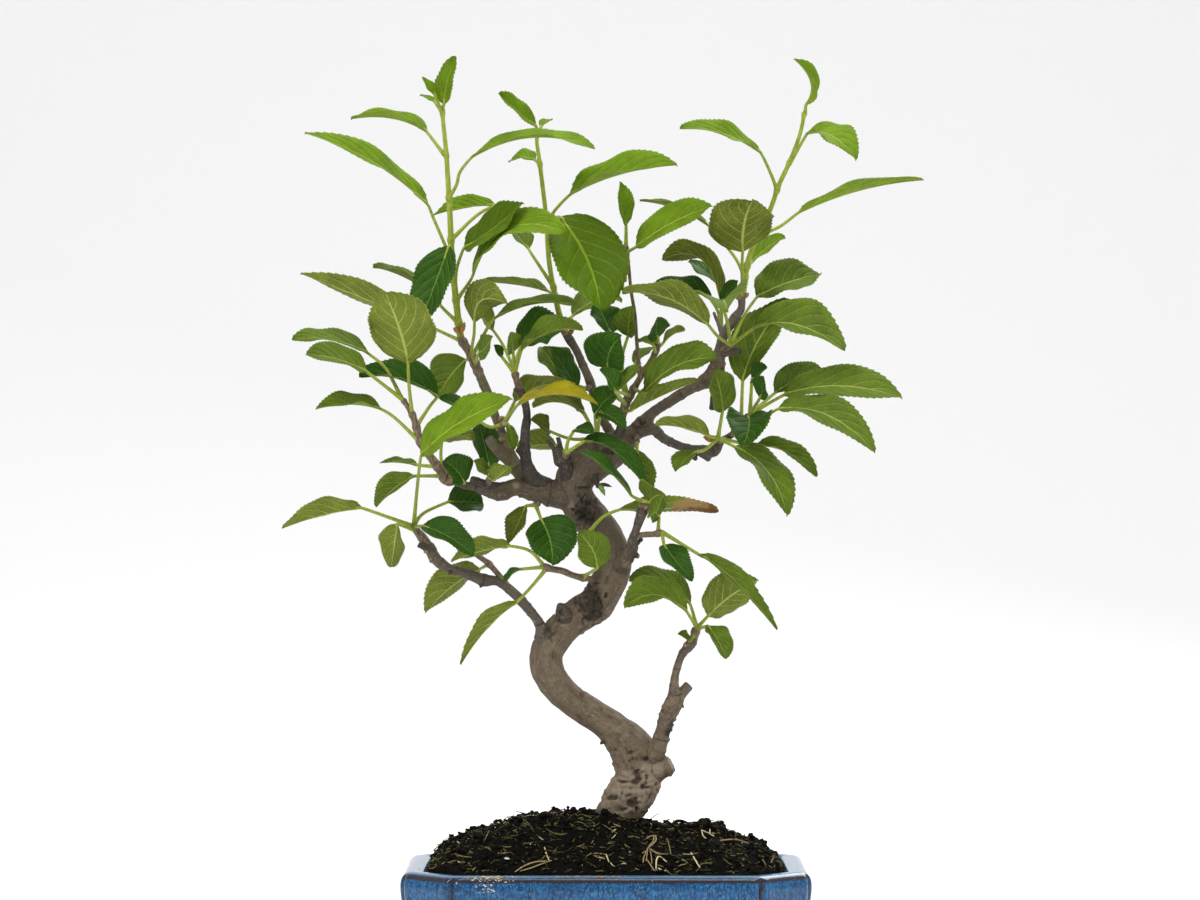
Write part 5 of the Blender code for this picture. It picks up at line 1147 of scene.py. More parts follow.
woodForm = {
    "voxel": 0.70 * mm,
    "spacing": 0.7 * mm,
    "smoothing": 7,
    "lumps": 0.075,            # shares of a limb's radius
    "grain": 0.050,
    "ringGap": 5.4 * mm,
    "ring": 0.17,
    "ringStart": 8 * mm,
    "dark": (0.026, 0.020, 0.013),
    "streak": (0.050, 0.037, 0.023),
    "middle": (0.116, 0.085, 0.051),
    "light": (0.255, 0.203, 0.142),
    "ash": (0.088, 0.078, 0.072),
    "red": (0.080, 0.024, 0.015),
    "barkDarkAndShade": (0.030, 0.024, 0.024),
    "olive": (0.150, 0.135, 0.055),
    "cut": (0.235, 0.200, 0.125),
    "darkCut": (0.070, 0.050, 0.032),
    "baseTop": 116 * mm,       # the old crumpled bark starts below this height
    "baseFade": 12 * mm,
    "crownShade": (590, 45, 0.42),  # painted shade of the crown: pixel row where the trunk's bark darkens, over how many, how much
    "limbSides": 22,
    "limbShift": 0.05,         # moves the grain of each limb away from the next one's
    "ringSway": (0.35, 331),
    "ringWidth": 0.75 * mm,
    "seam": (0.28 * mm, 0.10 * mm, 0.8),    # width, depth, darkness
    "crumple": (775, 60, 0.6 * mm),         # pixel row of its middle, half height, relief
    "pits": (26, [  # how many, and least and most of each value of a wound
        (610, 656), (742, 812), (1.5, 4.5), (0.8, 2.0), (0.2, 0.6), (0.1, 0.5), (0, 0.6), (-0.6, 0.9),
        (0, 0.5),
    ]),
    "charred": {  # how dark a limb's bark is; below 0 it is olive instead
        "dark_upright": 0.9, "dark_upright_stub": 1, "inner_knob": 1, "inner_knob_stub": 1,
        "inner_knob_spur": 1, "mid_left": 0.45, "mid_left_stub": 0.9, "leader_base": -0.7,
        "leader_stub": -0.5, "upper_right": 0.05, "broken": 0.45, "broken_stub": 0.7,
        "broken_stub_right": 0.7, "front_twig": 0.5, "front_twig_spur": 1, "front_twig_stub": 1,
        "cavity_spur_left": 1, "cavity_spur_right": 1, "upper_spur": 1, "dark_wound": 0.5,
        "upper_cavity": 0.7, "left_wound": 0.6, "low_left": 0.35, "upper_centre": 0.6,
        "upper_right_spur": 0.8, "trunk_bud": 0.8, "low_left_stub": 0.7, "upper_middle": 0.25,
    },
    "paleEnds": ("scar_right", "low_right_stub", "front_twig_stub"),
    "darkEnds": ("low_left_stub", "mid_left_stub", "leader_stub", "dark_upright_stub",
                 "inner_knob_stub", "upper_right_stub", "upper_right_spur", "broken_stub",
                 "broken_stub_right", "trunk_bud", "front_twig_spur", "left_wound",
                 "inner_knob_spur"),
}
wounds = [  # x, y, half width and half height in pixels, pit in mm, lip in mm, rough, dark (dark wood, partly painted shade in the pit; below 0 pale), red
    (592, 606, 13, 19, 0.5, 0.7, 1.0, 0.75, 0.6),
    (594, 600, 5, 6, 1.6, 0.3, 0.4, 1.0, 0.1),
    (584, 513, 10, 14, 2.8, 0.9, 0.9, 1.0, 0.1),
    (593, 520, 5, 7, -0.8, 0.3, 0.5, 0.2, 0.3),
    (572, 508, 3.5, 9, 0.3, 0.2, 0.1, -0.9, 0.0),
    (583, 487, 9, 1.6, 0.9, 0.5, 0.1, 0.9, 0.0),
    (560, 613, 5, 8, 0.9, 0.5, 0.8, 0.5, 0.0),
    (548, 633, 10, 9, 0.0, 0.2, 0.5, 0.5, 0.0),
    (582, 694, 4, 5, 0.3, 0.2, 0.1, 0.3, 0.9),
    (622, 780, 7, 1.6, 0.8, 0.4, 0.1, 1.0, 0.4),
    (636, 772, 5, 4.5, 0.7, 0.5, 0.2, 0.4, 1.0),
    (635, 779, 4, 3, 0.5, 0.4, 0.2, 0.4, 1.0),
    (646, 786, 6, 2.2, 0.8, 0.4, 0.2, 0.8, 0.7),
    (613, 796, 6, 3, 0.8, 0.6, 0.3, 0.9, 0.3),
    (632, 801, 8, 6, 1.0, 0.7, 0.5, 1.0, 0.2),
    (620, 808, 9, 3, 0.6, 0.5, 0.4, 0.6, 0.1),
    (624, 746, 10, 8, 0.0, 0.3, 0.8, -0.4, 0.0),
    (641, 757, 10, 3, 0.5, 0.6, 0.6, 0.5, 0.1),
    (657, 768, 11, 9, 0.0, 0.0, 0.0, -0.9, 0.0),
    (671, 722, 4, 7, 0.5, 0.4, 0.3, 0.8, 0.3),
    (670, 721, 1.6, 5, -0.3, 0.0, 0.0, -1.4, 0.0),
    (668, 732, 5, 5, 1.0, 0.5, 0.5, 0.9, 0.2),
    (627, 564, 7, 8, -0.2, 0.2, 0.1, -0.7, 0.0),
    (516, 485, 6, 5, -0.5, 0.2, 0.1, -0.8, 0.0),
    (604, 483, 6, 3, 0.4, 0.5, 0.8, 0.9, 0.1),
    (606, 452, 9, 4, 0.5, 0.5, 0.7, 0.8, 0.0),
]


def steadyFrame(path):
    # two directions square to the path, carried along it without twist
    along = unit(np.gradient(path, axis=0))
    side = unit(np.cross(along[0], [0.3, 1, 0.2]))
    sides = []
    for step in along:
        side = side - step * step.dot(side)
        side = side / np.linalg.norm(side)
        sides.append(side)
    return along, np.array(sides), np.cross(along, sides)


def limbLine(name, points):
    # a limb's middle line and radii; an end that isn't cut is rounded into half a ball
    knots = [place(x, y, depth) for x, y, _, depth in points]
    radii = [radius * view["pixel"] for _, _, radius, _ in points]
    path, radii = smoothPath(knots, radii, woodForm["spacing"])
    radii = radii[:, 0]
    if name not in woodForm["paleEnds"] + woodForm["darkEnds"]:
        extra = unit(path[-1] - path[-2])
        turn = np.linspace(0.2, 1.35, 5)
        path = np.concatenate([path, path[-1] + extra * radii[-1] * np.sin(turn)[:, None]])
        radii = np.concatenate([radii, radii[-1] * np.cos(turn)])
    return path, radii


def woodSkin():
    # every limb as a tube, all made one skin by a fine remesh
    parts = [tubePart(*limbLine(name, points), woodForm["limbSides"]) for name, points in limbs.items()]
    raw = makePiece("limbs", parts, [])
    remesh = raw.modifiers.new("skin", "REMESH")
    remesh.mode = "VOXEL"
    remesh.voxel_size = woodForm["voxel"]
    bpy.context.view_layer.update()
    skin = raw.evaluated_get(bpy.context.evaluated_depsgraph_get()).to_mesh()
    points = meshPoints(skin).astype(float)
    sizes = np.empty(len(skin.polygons), np.int32)
    skin.polygons.foreach_get("loop_total", sizes)
    corners = np.empty(len(skin.loops), np.int32)
    skin.loops.foreach_get("vertex_index", corners)
    ends = np.cumsum(sizes)
    faces = corners[np.minimum((ends - sizes)[:, None] + np.arange(4)[None], (ends - 1)[:, None])]
    old = raw.data
    bpy.data.objects.remove(raw)
    bpy.data.meshes.remove(old)
    return points, faces


def smoothed(points, faces, rounds):
    # each round moves a point towards the mean of its neighbours and then a little back
    first = np.concatenate([faces[:, i] for i in range(4)])
    second = np.concatenate([faces[:, (i + 1) % 4] for i in range(4)])
    keep = first != second
    first, second = first[keep], second[keep]
    count = np.maximum(np.bincount(first, minlength=len(points)), 1)[:, None]
    for _ in range(rounds):
        for share in (0.55, -0.45):
            mean = np.stack([
                np.bincount(first, points[second, axis], len(points)) for axis in range(3)
            ], 1) / count
            points = points + share * (mean - points)
    return points


def skinNormals(points, faces):
    # at each point the sum of its faces' normals, each the cross product of the face's diagonals
    across = points[faces[:, 2]] - points[faces[:, 0]]
    other = points[faces[:, 3]] - points[faces[:, 1]]
    normal = np.cross(across, other)
    total = np.stack([
        sum(np.bincount(faces[:, i], normal[:, axis], len(points)) for i in range(4))
        for axis in range(3)
    ], 1)
    return unit(total)


def nearestLimb(points):
    # for each point of the skin: place along its limb, square to it, the limb's radius and number
    lines, numbers = [], []
    for number, (name, table) in enumerate(limbs.items()):
        path, radii = limbLine(name, table)
        along, side, other = steadyFrame(path)
        run = np.concatenate([[0], np.cumsum(np.linalg.norm(np.diff(path, axis=0), axis=1))])
        lines.append(np.column_stack([path, along, side, other, radii, run, run[-1] - run]))
        numbers.append(np.full(len(path), number))
    lines, numbers = np.concatenate(lines), np.concatenate(numbers)
    chosen = np.empty(len(points), int)
    for start in range(0, len(points), 4000):
        block = points[start:start + 4000]
        gap = np.linalg.norm(block[:, None] - lines[None, :, :3], axis=2) - lines[None, :, 12]
        chosen[start:start + 4000] = gap.argmin(1)
    line = lines[chosen]
    off = points - line[:, :3]
    run = line[:, 13] + (off * line[:, 3:6]).sum(1)
    return {
        "run": run, "left": line[:, 14], "radius": np.maximum(line[:, 12], 0.6 * mm),
        "x": (off * line[:, 6:9]).sum(1), "y": (off * line[:, 9:12]).sum(1),
        "limb": numbers[chosen], "middle": line[:, :3], "along": line[:, 3:6],
    }


def buildWood():
    # bark relief on the skin: lumps, lengthwise grain, ring scars on the branches, and pits with
    # raised lips where limbs were lost
    points, faces = woodSkin()
    points = smoothed(points, faces, woodForm["smoothing"])
    normal = skinNormals(points, faces)
    near = nearestLimb(points)
    radius, limb = near["radius"], near["limb"]
    names = list(limbs)
    down = near["run"] + woodForm["limbShift"] * limb
    spot = np.column_stack([near["x"], near["y"], down])
    stretched = spot * np.array([1, 1, 0.20])
    grain = latticeNoise(stretched, 1.1 * mm, 3) + 0.6 * latticeNoise(stretched, 0.6 * mm, 4)
    lumps = latticeNoise(points, 8 * mm, 1) + 0.5 * latticeNoise(points, 3.5 * mm, 2)
    rise = radius * (woodForm["lumps"] * lumps * 0.6) + np.minimum(radius, 4 * mm) * (
        woodForm["grain"] * grain)
    base = np.clip((woodForm["baseTop"] - points[:, 2]) / woodForm["baseFade"], 0, 1) * (limb == 0)
    rise += base * 0.75 * mm * latticeNoise(points * np.array([1, 1, 1.6]), 3.2 * mm, 8)
    # ring scars stand at uneven steps along each branch
    sway, swayRate = woodForm["ringSway"]
    phase = near["run"] / woodForm["ringGap"] + sway * np.sin(near["run"] * swayRate + limb)
    ringGap = np.abs(phase - np.round(phase)) * woodForm["ringGap"]
    branch = (limb > 0) * np.clip((near["run"] - woodForm["ringStart"]) / (2 * mm), 0, 1)
    ring = bell(ringGap, woodForm["ringWidth"]) * branch
    ragged = 0.6 + 0.5 * latticeNoise(points, 1.4 * mm, 9)
    rise += ring * radius * woodForm["ring"] * ragged
    seamWidth, seamDepth, seamDark = woodForm["seam"]
    seam = bell(ringGap, seamWidth) * branch
    rise -= seam * seamDepth
    dark, red, pale = seamDark * seam, np.zeros(len(points)), np.zeros(len(points))
    front = points[:, 1] < near["middle"][:, 1] + 0.3 * radius
    scale = view["pixel"]
    x = (points[:, 0] - view["x"]) / scale + view["width"] / 2
    y = view["height"] / 2 - (points[:, 2] - view["z"]) / scale
    wrinkle = latticeNoise(points, 1.7 * mm, 6) - np.abs(latticeNoise(points, 2.6 * mm, 7)) * 1.4
    # the foot of the trunk is crumpled all over; its creases get painted shade, darker and less pale the
    # deeper they are
    row, reach, relief = woodForm["crumple"]
    crumple = base * np.clip(1.2 - np.abs(y - row) / reach, 0, 1)
    rise += crumple * relief * wrinkle
    dark += crumple * np.clip(-wrinkle - 0.75, 0, 0.6)
    pale += crumple * np.clip(0.95 + wrinkle * 0.5, 0, 0.78)
    draw = np.random.default_rng(8)
    count, ranges = woodForm["pits"]
    pits = np.column_stack([draw.uniform(least, most, count) for least, most in ranges])
    for cx, cy, wide, high, pit, lip, rough, woodDarkAndShade, rust in list(wounds) + list(pits):
        bent = 1 + 0.42 * latticeNoise(points, 1.7 * mm, int(cx))
        gap = np.sqrt(((x - cx) / wide) ** 2 + ((y - cy) / high) ** 2) * bent
        here = np.exp(-gap ** 2 * 1.3) * front
        rise += (lip * bell(gap - 1.15, 0.35) * front - pit * here) * mm
        rise += rough * wrinkle * 0.95 * mm * np.clip(1.6 - gap, 0, 1) * front
        # painted shade in the hollows of a rough wound's wrinkles, then the wound's own dark wood, partly
        # painted shade in its pit
        dark += rough * np.clip(-wrinkle * 0.8, 0, 0.8) * np.clip(1.5 - gap, 0, 1) * front
        dark += np.maximum(woodDarkAndShade, 0) * here
        pale += np.maximum(-woodDarkAndShade, 0) * here
        red += rust * here
    points = points + normal * rise[:, None]
    isPale, isDark = (np.isin(limb, [names.index(name) for name in woodForm[ends]])
                      for ends in ("paleEnds", "darkEnds"))
    facing = (normal * near["along"]).sum(1) > 0.6
    cut = ((isPale | isDark) & facing & (near["left"] < 0.9 * mm)).astype(float)
    # painted shade of the crown: the trunk darkens above the given pixel row, in the same mark as the
    # limbs' dark bark
    row, reach, crownShade = woodForm["crownShade"]
    barkDarkAndShade = np.array([woodForm["charred"].get(name, 0.0) for name in names])[limb]
    marks = {
        "roundX": near["x"], "roundY": near["y"], "down": down, "girth": radius,
        "dark": np.clip(dark, 0, 1), "pale": np.clip(pale, 0, 1.5), "red": np.clip(red, 0, 1),
        "cut": cut, "cutPale": cut * isPale,
        "barkDarkAndShade": barkDarkAndShade + crownShade * (limb == 0) * np.clip((row - y) / reach, 0, 1),
    }
    part = {"points": points, "faces": faces, "tone": 0, **marks}
    materials = [barkMaterial()] + [
        grainyMaterial(name, dim, bright, 0.6) for name, dim, bright in budForm["tones"]
    ]
    piece = makePiece("wood_fine", [part] + budParts(), materials, marks)
    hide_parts("wood")
    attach(piece, "root")
    print(f"wood: {len(faces)} faces on the skin")


def barkMaterial():
    # thin bark: fine lengthwise streaks over broad mottling, with pale pores, ashy twigs and rust
    made = Nodes("bark")
    down = made.times(made.mark("down"), 0.22)
    grain = made.add("ShaderNodeCombineXYZ", {0: made.mark("roundX"), 1: made.mark("roundY"), 2: down})
    grain = grain.outputs[0]
    streak = made.noise(grain, 620.0, 5.0, 0.62, 0.4)
    thread = made.noise(grain, 2300.0, 3.0)
    spot = made.where()
    broad = made.noise(spot, 52.0, 4.0, 0.6)
    mottle = made.noise(spot, 210.0, 5.0, 0.65)
    colour = made.mixed(made.band(streak, 0.30, 0.56), woodForm["streak"], woodForm["middle"])
    colour = made.mixed(made.band(mottle, 0.44, 0.74, 0.0, 0.65), colour, woodForm["light"])
    colour = made.mixed(made.band(broad, 0.40, 0.62, 0.0, 0.4), colour, woodForm["middle"])
    slender = made.fall(made.mark("girth"), 0.0022, 0.005)
    ashy = made.times(slender, made.band(broad, 0.35, 0.6, 0.1, 0.6))
    colour = made.mixed(ashy, colour, woodForm["ash"])
    # the limbs' dark bark, with the painted shade of the crown on the upper trunk
    barkDarkAndShade = made.ragged(mottle, 1.6, made.mark("barkDarkAndShade"))
    colour = made.mixed(made.band(barkDarkAndShade, 0.1, 1.0, 0.0, 0.85), colour, woodForm["barkDarkAndShade"])
    colour = made.mixed(made.band(barkDarkAndShade, -0.9, -0.2, 0.7, 0.0), colour, woodForm["olive"])
    colour = made.mixed(made.band(thread, 0.52, 0.75, 0.0, 0.5), colour, woodForm["light"])
    squeezed = made.add("ShaderNodeMapping", {0: grain, 3: (1, 1, 3.2)}).outputs[0]
    pores = made.fall(made.cells(squeezed, 330.0, "F1"), 0.10, 0.2)
    colour = made.mixed(made.times(pores, 0.55), colour, woodForm["light"])
    # the dark mark holds dark seams and dark wood, and painted shade in creases, pits and wound hollows
    for noise, mark, low, high, most, tint in (
            (mottle, "pale", 0.25, 0.85, 0.8, "light"), (mottle, "red", 0.3, 0.75, 0.85, "red"),
            (streak, "dark", 0.25, 0.85, 0.88, "dark")):
        share = made.band(made.ragged(noise, 0.9, made.mark(mark)), low, high, 0.0, most)
        colour = made.mixed(share, colour, woodForm[tint])
    ends = made.mixed(made.mark("cutPale"), woodForm["darkCut"], woodForm["cut"])
    ends = made.mixed(made.band(thread, 0.4, 0.7, 0.0, 0.5), ends, woodForm["dark"])
    colour = made.mixed(made.band(made.mark("cut"), 0.35, 0.65), colour, ends)
    height = made.line(streak, 1.2, made.times(pores, 0.35))
    normal = made.bump(height, 0.0009, 0.8)
    normal = made.bump(made.sum("ADD", thread, mottle), 0.00035, 0.7, normal)
    rough = made.band(mottle, 0.3, 0.7, 0.62, 0.82)
    return made.finish(colour, rough, normal, Specular_IOR_Level=0.3)


budForm = {
    "fullness": 1.3,
    "bend": ((0, -0.35, 0.25), 0.4),     # its direction, and its share of the bud's length
    "scaleRelief": (0.10, 21),
    "least": 0.08 * mm,
    "tones": [
        ("bud scales", (0.11, 0.065, 0.035), (0.33, 0.23, 0.13)),
        ("dark scales", (0.022, 0.016, 0.012), (0.080, 0.058, 0.040)),
        ("green bud", (0.060, 0.12, 0.020), (0.20, 0.30, 0.07)),
        ("rust scales", (0.21, 0.095, 0.018), (0.42, 0.24, 0.06)),
    ],
    "places": [  # foot, tip (x, y, depth), widest radius in pixels, tone in the list above from 1
        ((463, 472, -12), (446, 484, -14), 4.4, 1), ((455, 478, -11), (449, 470, -12), 2.6, 1),
        ((460, 333, 3), (453, 328, -1), 2.2, 4), ((461, 334, 2), (465, 322, -2), 2.0, 4),
        ((714, 441, -4), (703, 437, -8), 2.6, 4), ((732, 436, -4), (738, 429, -6), 2.2, 1),
        ((599, 484, -11), (605, 496, -15), 2.0, 3), ((600, 484, -11), (612, 487, -13), 1.4, 2),
        ((594, 479, -9), (590, 487, -12), 1.2, 2), ((590, 505, -11), (598, 498, -15), 1.5, 2),
        ((594, 508, -11), (599, 508, -14), 1.3, 2), ((585, 504, -11), (582, 496, -14), 1.3, 2),
        ((567, 336, 6), (561, 330, 3), 2.4, 1), ((569, 335, 7), (574, 328, 4), 2.0, 1),
        ((505, 442, 6), (498, 439, 2), 2.4, 1), ((509, 449, 5), (517, 445, 1), 2.2, 1),
        ((506, 436, 6), (512, 433, 3), 1.8, 1), ((644, 509, -27), (651, 505, -29), 2.6, 1),
        ((639, 541, -16), (643, 539, -18), 1.8, 2), ((498, 421, 6), (505, 417, 3), 2.2, 1),
        ((429, 549, -8), (424, 553, -11), 2.6, 1), ((434, 558, -8), (430, 563, -11), 2.2, 1),
        ((452, 570, -8), (449, 575, -11), 1.8, 2), ((483, 582, -9), (480, 588, -11), 2.0, 2),
        ((694, 637, -16), (698, 631, -19), 2.4, 1), ((690, 645, -16), (683, 645, -19), 2.4, 1),
        ((668, 713, -12), (661, 710, -14), 2.0, 2), ((676, 700, -13), (684, 708, -14), 2.2, 2),
        ((604, 741, -2), (600, 744.5, -3), 1.6, 2), ((717, 368, 8), (725, 372, 4), 2.6, 2),
        ((712, 362, 8), (706, 356, 4), 2.0, 2), ((741, 300, 8), (735, 296, 4), 2.0, 1),
        ((744, 298, 8), (749, 293, 5), 1.8, 1), ((524, 399, -11), (530, 394, -13), 1.8, 2),
        ((520, 392, -10), (513, 389, -12), 1.8, 2), ((644, 425, 1), (640, 417, -3), 2.4, 2),
    ],
}


def budParts():
    # a bud is a short drop, widest a third of the way up, with a bent tip
    parts = []
    share = np.linspace(0, 1, 14)
    relief, rate = budForm["scaleRelief"]
    bent, amount = budForm["bend"]
    for foot, tip, radius, tone in budForm["places"]:
        start, end = place(*foot), place(*tip)
        lift = np.array(bent) * np.linalg.norm(end - start) * amount
        path = start + (end - start) * share[:, None] + lift * (share * (1 - share) * 2)[:, None]
        shape = np.sin(math.pi * np.clip(share * 0.86 + 0.14, 0, 1)) ** 0.8
        scales = 1 + relief * np.sin(share * rate)
        radii = np.maximum(budForm["fullness"] * radius * view["pixel"] * shape * scales, budForm["least"])
        parts.append(tubePart(path, radii, 12, tone))
    return parts


potForm = {
    "length": 0.200, "width": 0.142, "height": 0.060, "chamfer": 0.024, "rim": 0.010,
    "round": 1.7 * mm,
    "grooveWidth": 1.2 * mm,
    "groove": 1.9 * mm,
    "bead": 0.30 * mm,          # the wall stands out a little beside each groove
    "beadPlace": (3.6 * mm, 1.4 * mm),
    "floor": 0.014,
    "drainRadius": 0.008,
    "drainPlace": 0.045,
    "foot": (0.034, 0.020, 0.006),
    "footPlace": (0.064, 0.046),
    "footSquare": 5.5,          # the foot's plan: |x|^5.5 + |y|^5.5 = 1
    "footRound": 1.1 * mm,
    "deep": (0.0020, 0.020, 0.070),
    "blue": (0.004, 0.074, 0.205),
    "bright": (0.036, 0.180, 0.340),
    "pale": (0.100, 0.170, 0.260),
    "brown": (0.016, 0.008, 0.009),
    "clay": (0.150, 0.085, 0.052),
    "coat": 0.32,
    "coatRough": 0.06,
    "rough": 0.13,
    "wall": [  # height, inset, share of the groove's depth, outside from foot to rim to inside
        (0.0060, 0.0110, 0), (0.0061, 0.0098, 0), (0.0066, 0.0087, 0.1), (0.0078, 0.0079, 0.3),
        (0.0120, 0.0064, 0.7), (0.0200, 0.0042, 1), (0.0280, 0.0024, 1), (0.0350, 0.0007, 1),
        (0.0410, -0.0008, 1), (0.0470, -0.0018, 1), (0.0510, -0.0022, 1), (0.0545, -0.0021, 1),
        (0.0568, -0.0015, 0.85), (0.0582, -0.0006, 0.4), (0.0592, 0.0006, 0), (0.0598, 0.0022, 0),
        (0.0600, 0.0042, 0), (0.0600, 0.0064, 0), (0.0597, 0.0084, 0), (0.0590, 0.0095, 0),
        (0.0576, 0.0101, 0), (0.0540, 0.0105, 0), (0.0500, 0.0110, 0), (0.0400, 0.0120, 0),
        (0.0280, 0.0135, 0), (0.0180, 0.0160, 0), (0.0146, 0.0174, 0), (0.0140, 0.0190, 0),
    ],
}


def potOutline(count):
    # a chamfered rectangle with its corners rounded, and each point's distance from a corner
    many = 4000
    a, b, c = potForm["length"] / 2, potForm["width"] / 2, potForm["chamfer"]
    quarter = [(a, 0), (a, b - c), (a - c, b), (0, b)]
    half = quarter + [(-x, y) for x, y in quarter[-2::-1]]
    loop = np.array(half + [(x, -y) for x, y in half[-2:0:-1]] + [half[0]])
    run = np.concatenate([[0], np.cumsum(np.linalg.norm(np.diff(loop, axis=0), axis=1))])
    fine = np.linspace(0, run[-1], many + 1)[:-1]
    points = np.stack([np.interp(fine, run, loop[:, axis]) for axis in (0, 1)], 1)
    step = run[-1] / many
    reach = np.arange(-60, 61)
    weight = np.exp(-(reach * step / potForm["round"]) ** 2 / 2)
    weight = weight / weight.sum()
    points = sum(w * np.roll(points, -shift, axis=0) for w, shift in zip(weight, reach))
    corner = run[np.array([1, 2, 4, 5, 7, 8, 10, 11])]
    away = np.abs(fine[:, None] - corner[None])
    away = np.minimum(away, run[-1] - away).min(1)
    # points crowd together near the corners
    density = 1 + 5 * bell(away, 5 * mm)
    share = np.concatenate([[0], np.cumsum(density)])
    share = share / share[-1]
    pick = np.interp(np.arange(count) / count, share, np.arange(many + 1))
    index = np.round(pick).astype(int) % many
    tangent = unit(np.roll(points, -3, axis=0) - np.roll(points, 3, axis=0))
    outward = np.stack([tangent[:, 1], -tangent[:, 0]], 1)
    return points[index], outward[index], away[index]


def potRing(height, inset, groove, outline):
    # the outline drawn in by the inset, with a bell-shaped groove and bead at each corner
    points, outward, away = outline
    notch = potForm["groove"] * bell(away, potForm["grooveWidth"])
    middle, reach = potForm["beadPlace"]
    bead = potForm["bead"] * bell(away - middle, reach)
    out = -inset + groove * (bead - notch)
    flat = points + outward * out[:, None]
    return np.column_stack([flat, np.full(len(flat), height)])


def floorPart(ring, height, upward, tone):
    # half the floor on each side of the middle, swept from the drain hole's rim to the wall
    parts = []
    for side in (1, -1):
        hole = np.array([side * potForm["drainPlace"], 0])
        edge = ring[side * ring[:, 0] > -1e-9, :2]
        edge = edge[np.argsort(np.arctan2(edge[:, 1], side * (edge[:, 0] - hole[0])))]
        first, last = edge[0], edge[-1]
        inner = np.stack([np.zeros(14), np.linspace(last[1], first[1], 14)], 1)
        edge = np.concatenate([edge, inner, edge[:1]])
        out = unit(edge - hole)
        start = hole + out * potForm["drainRadius"]
        share = np.linspace(0, 1, 9)[:, None, None] ** 1.3
        flat = start[None] + (edge - start)[None] * share
        part = gridPart(atHeights(flat, height), tone=tone, bare=1.0)
        if (side > 0) == upward:
            part["faces"] = part["faces"][:, ::-1]
        parts.append(part)
    return parts


def potParts():
    # the wall is a loft of outlines; the floor's two sheets meet it, with a wall round each drain
    outline = potOutline(360)
    knots = np.array([(i, z, inset) for i, (z, inset, _) in enumerate(potForm["wall"])], float)
    curve, carried = smoothPath(knots, [groove for _, _, groove in potForm["wall"]], 0.34)
    rings = np.stack([potRing(z, inset, groove, outline)
                      for (_, z, inset), (groove,) in zip(curve, carried)])
    row = curve[:, 0]      # counts the profile's points
    away = outline[2]
    lip = bell(row - 12.9, 1.25)
    # painted shade: the corner grooves are darkened with the brown of the thin glaze
    grooved = carried[:, 0][:, None] * bell(away[None], 2.0 * mm)
    low = bell(row - 2.4, 1.2) * 0.8
    edge = np.clip(np.maximum(np.maximum(lip, low)[:, None], grooved * 0.7), 0, 1)
    top = np.clip((row - 13.2) / 1.6, 0, 1) * (row < 20.6)
    bare = ((row < 1.6) | (row > 21.2)).astype(float)
    wall = gridPart(rings, True, 0, edge=edge, top=top[:, None], bare=bare[:, None])
    parts = [wall]
    parts += floorPart(rings[0], potForm["wall"][0][0], False, 0)
    parts += floorPart(rings[-1], potForm["wall"][-1][0], True, 0)
    angle = roundAngles(64)
    for side in (1, -1):
        circle = np.stack([side * potForm["drainPlace"] + potForm["drainRadius"] * np.cos(angle),
                           potForm["drainRadius"] * np.sin(angle)], 1)
        heights = np.linspace(potForm["wall"][-1][0], potForm["wall"][0][0], 5)
        points = atHeights(np.broadcast_to(circle, (5, 64, 2)), heights[:, None])
        parts.append(gridPart(points, True, 0, bare=1.0))
    for x in (-1, 1):
        for y in (-1, 1):
            parts.append(footPart(x * potForm["footPlace"][0], y * potForm["footPlace"][1]))
    return parts


def footPart(x, y):
    # a block with rounded corners and a rounded lower edge; its top is inside the floor
    wide, deep, high = potForm["foot"]
    angle = roundAngles(96)
    c, s = np.cos(angle), np.sin(angle)
    power = 2 / potForm["footSquare"]
    radius = potForm["footRound"]
    flat = np.stack([wide / 2 * np.sign(c) * np.abs(c) ** power,
                     deep / 2 * np.sign(s) * np.abs(s) ** power], 1)
    turn = np.linspace(0, math.pi / 2, 7)
    halves = np.array([wide / 2, deep / 2])
    scale = [np.full(2, share) for share in (0.1, 0.5, 0.9)]
    scale += [1 - radius * (1 - math.sin(step)) / halves for step in turn]
    scale += [np.full(2, share) for share in (1, 1, 0.5, 0.1)]
    rise = list(radius * (1 - np.cos(turn)))
    height = np.array([0, 0, 0] + rise + [high * 0.7] + [high + 0.6 * mm] * 3)
    points = atHeights(flat[None] * np.array(scale)[:, None] + np.array([x, y]), height[:, None])
    bare = (height < 0.8 * mm).astype(float)[:, None]
    edge = bell(height - 1.5 * mm, radius)[:, None]
    return closedGrid(points, 0, edge=edge, bare=bare)


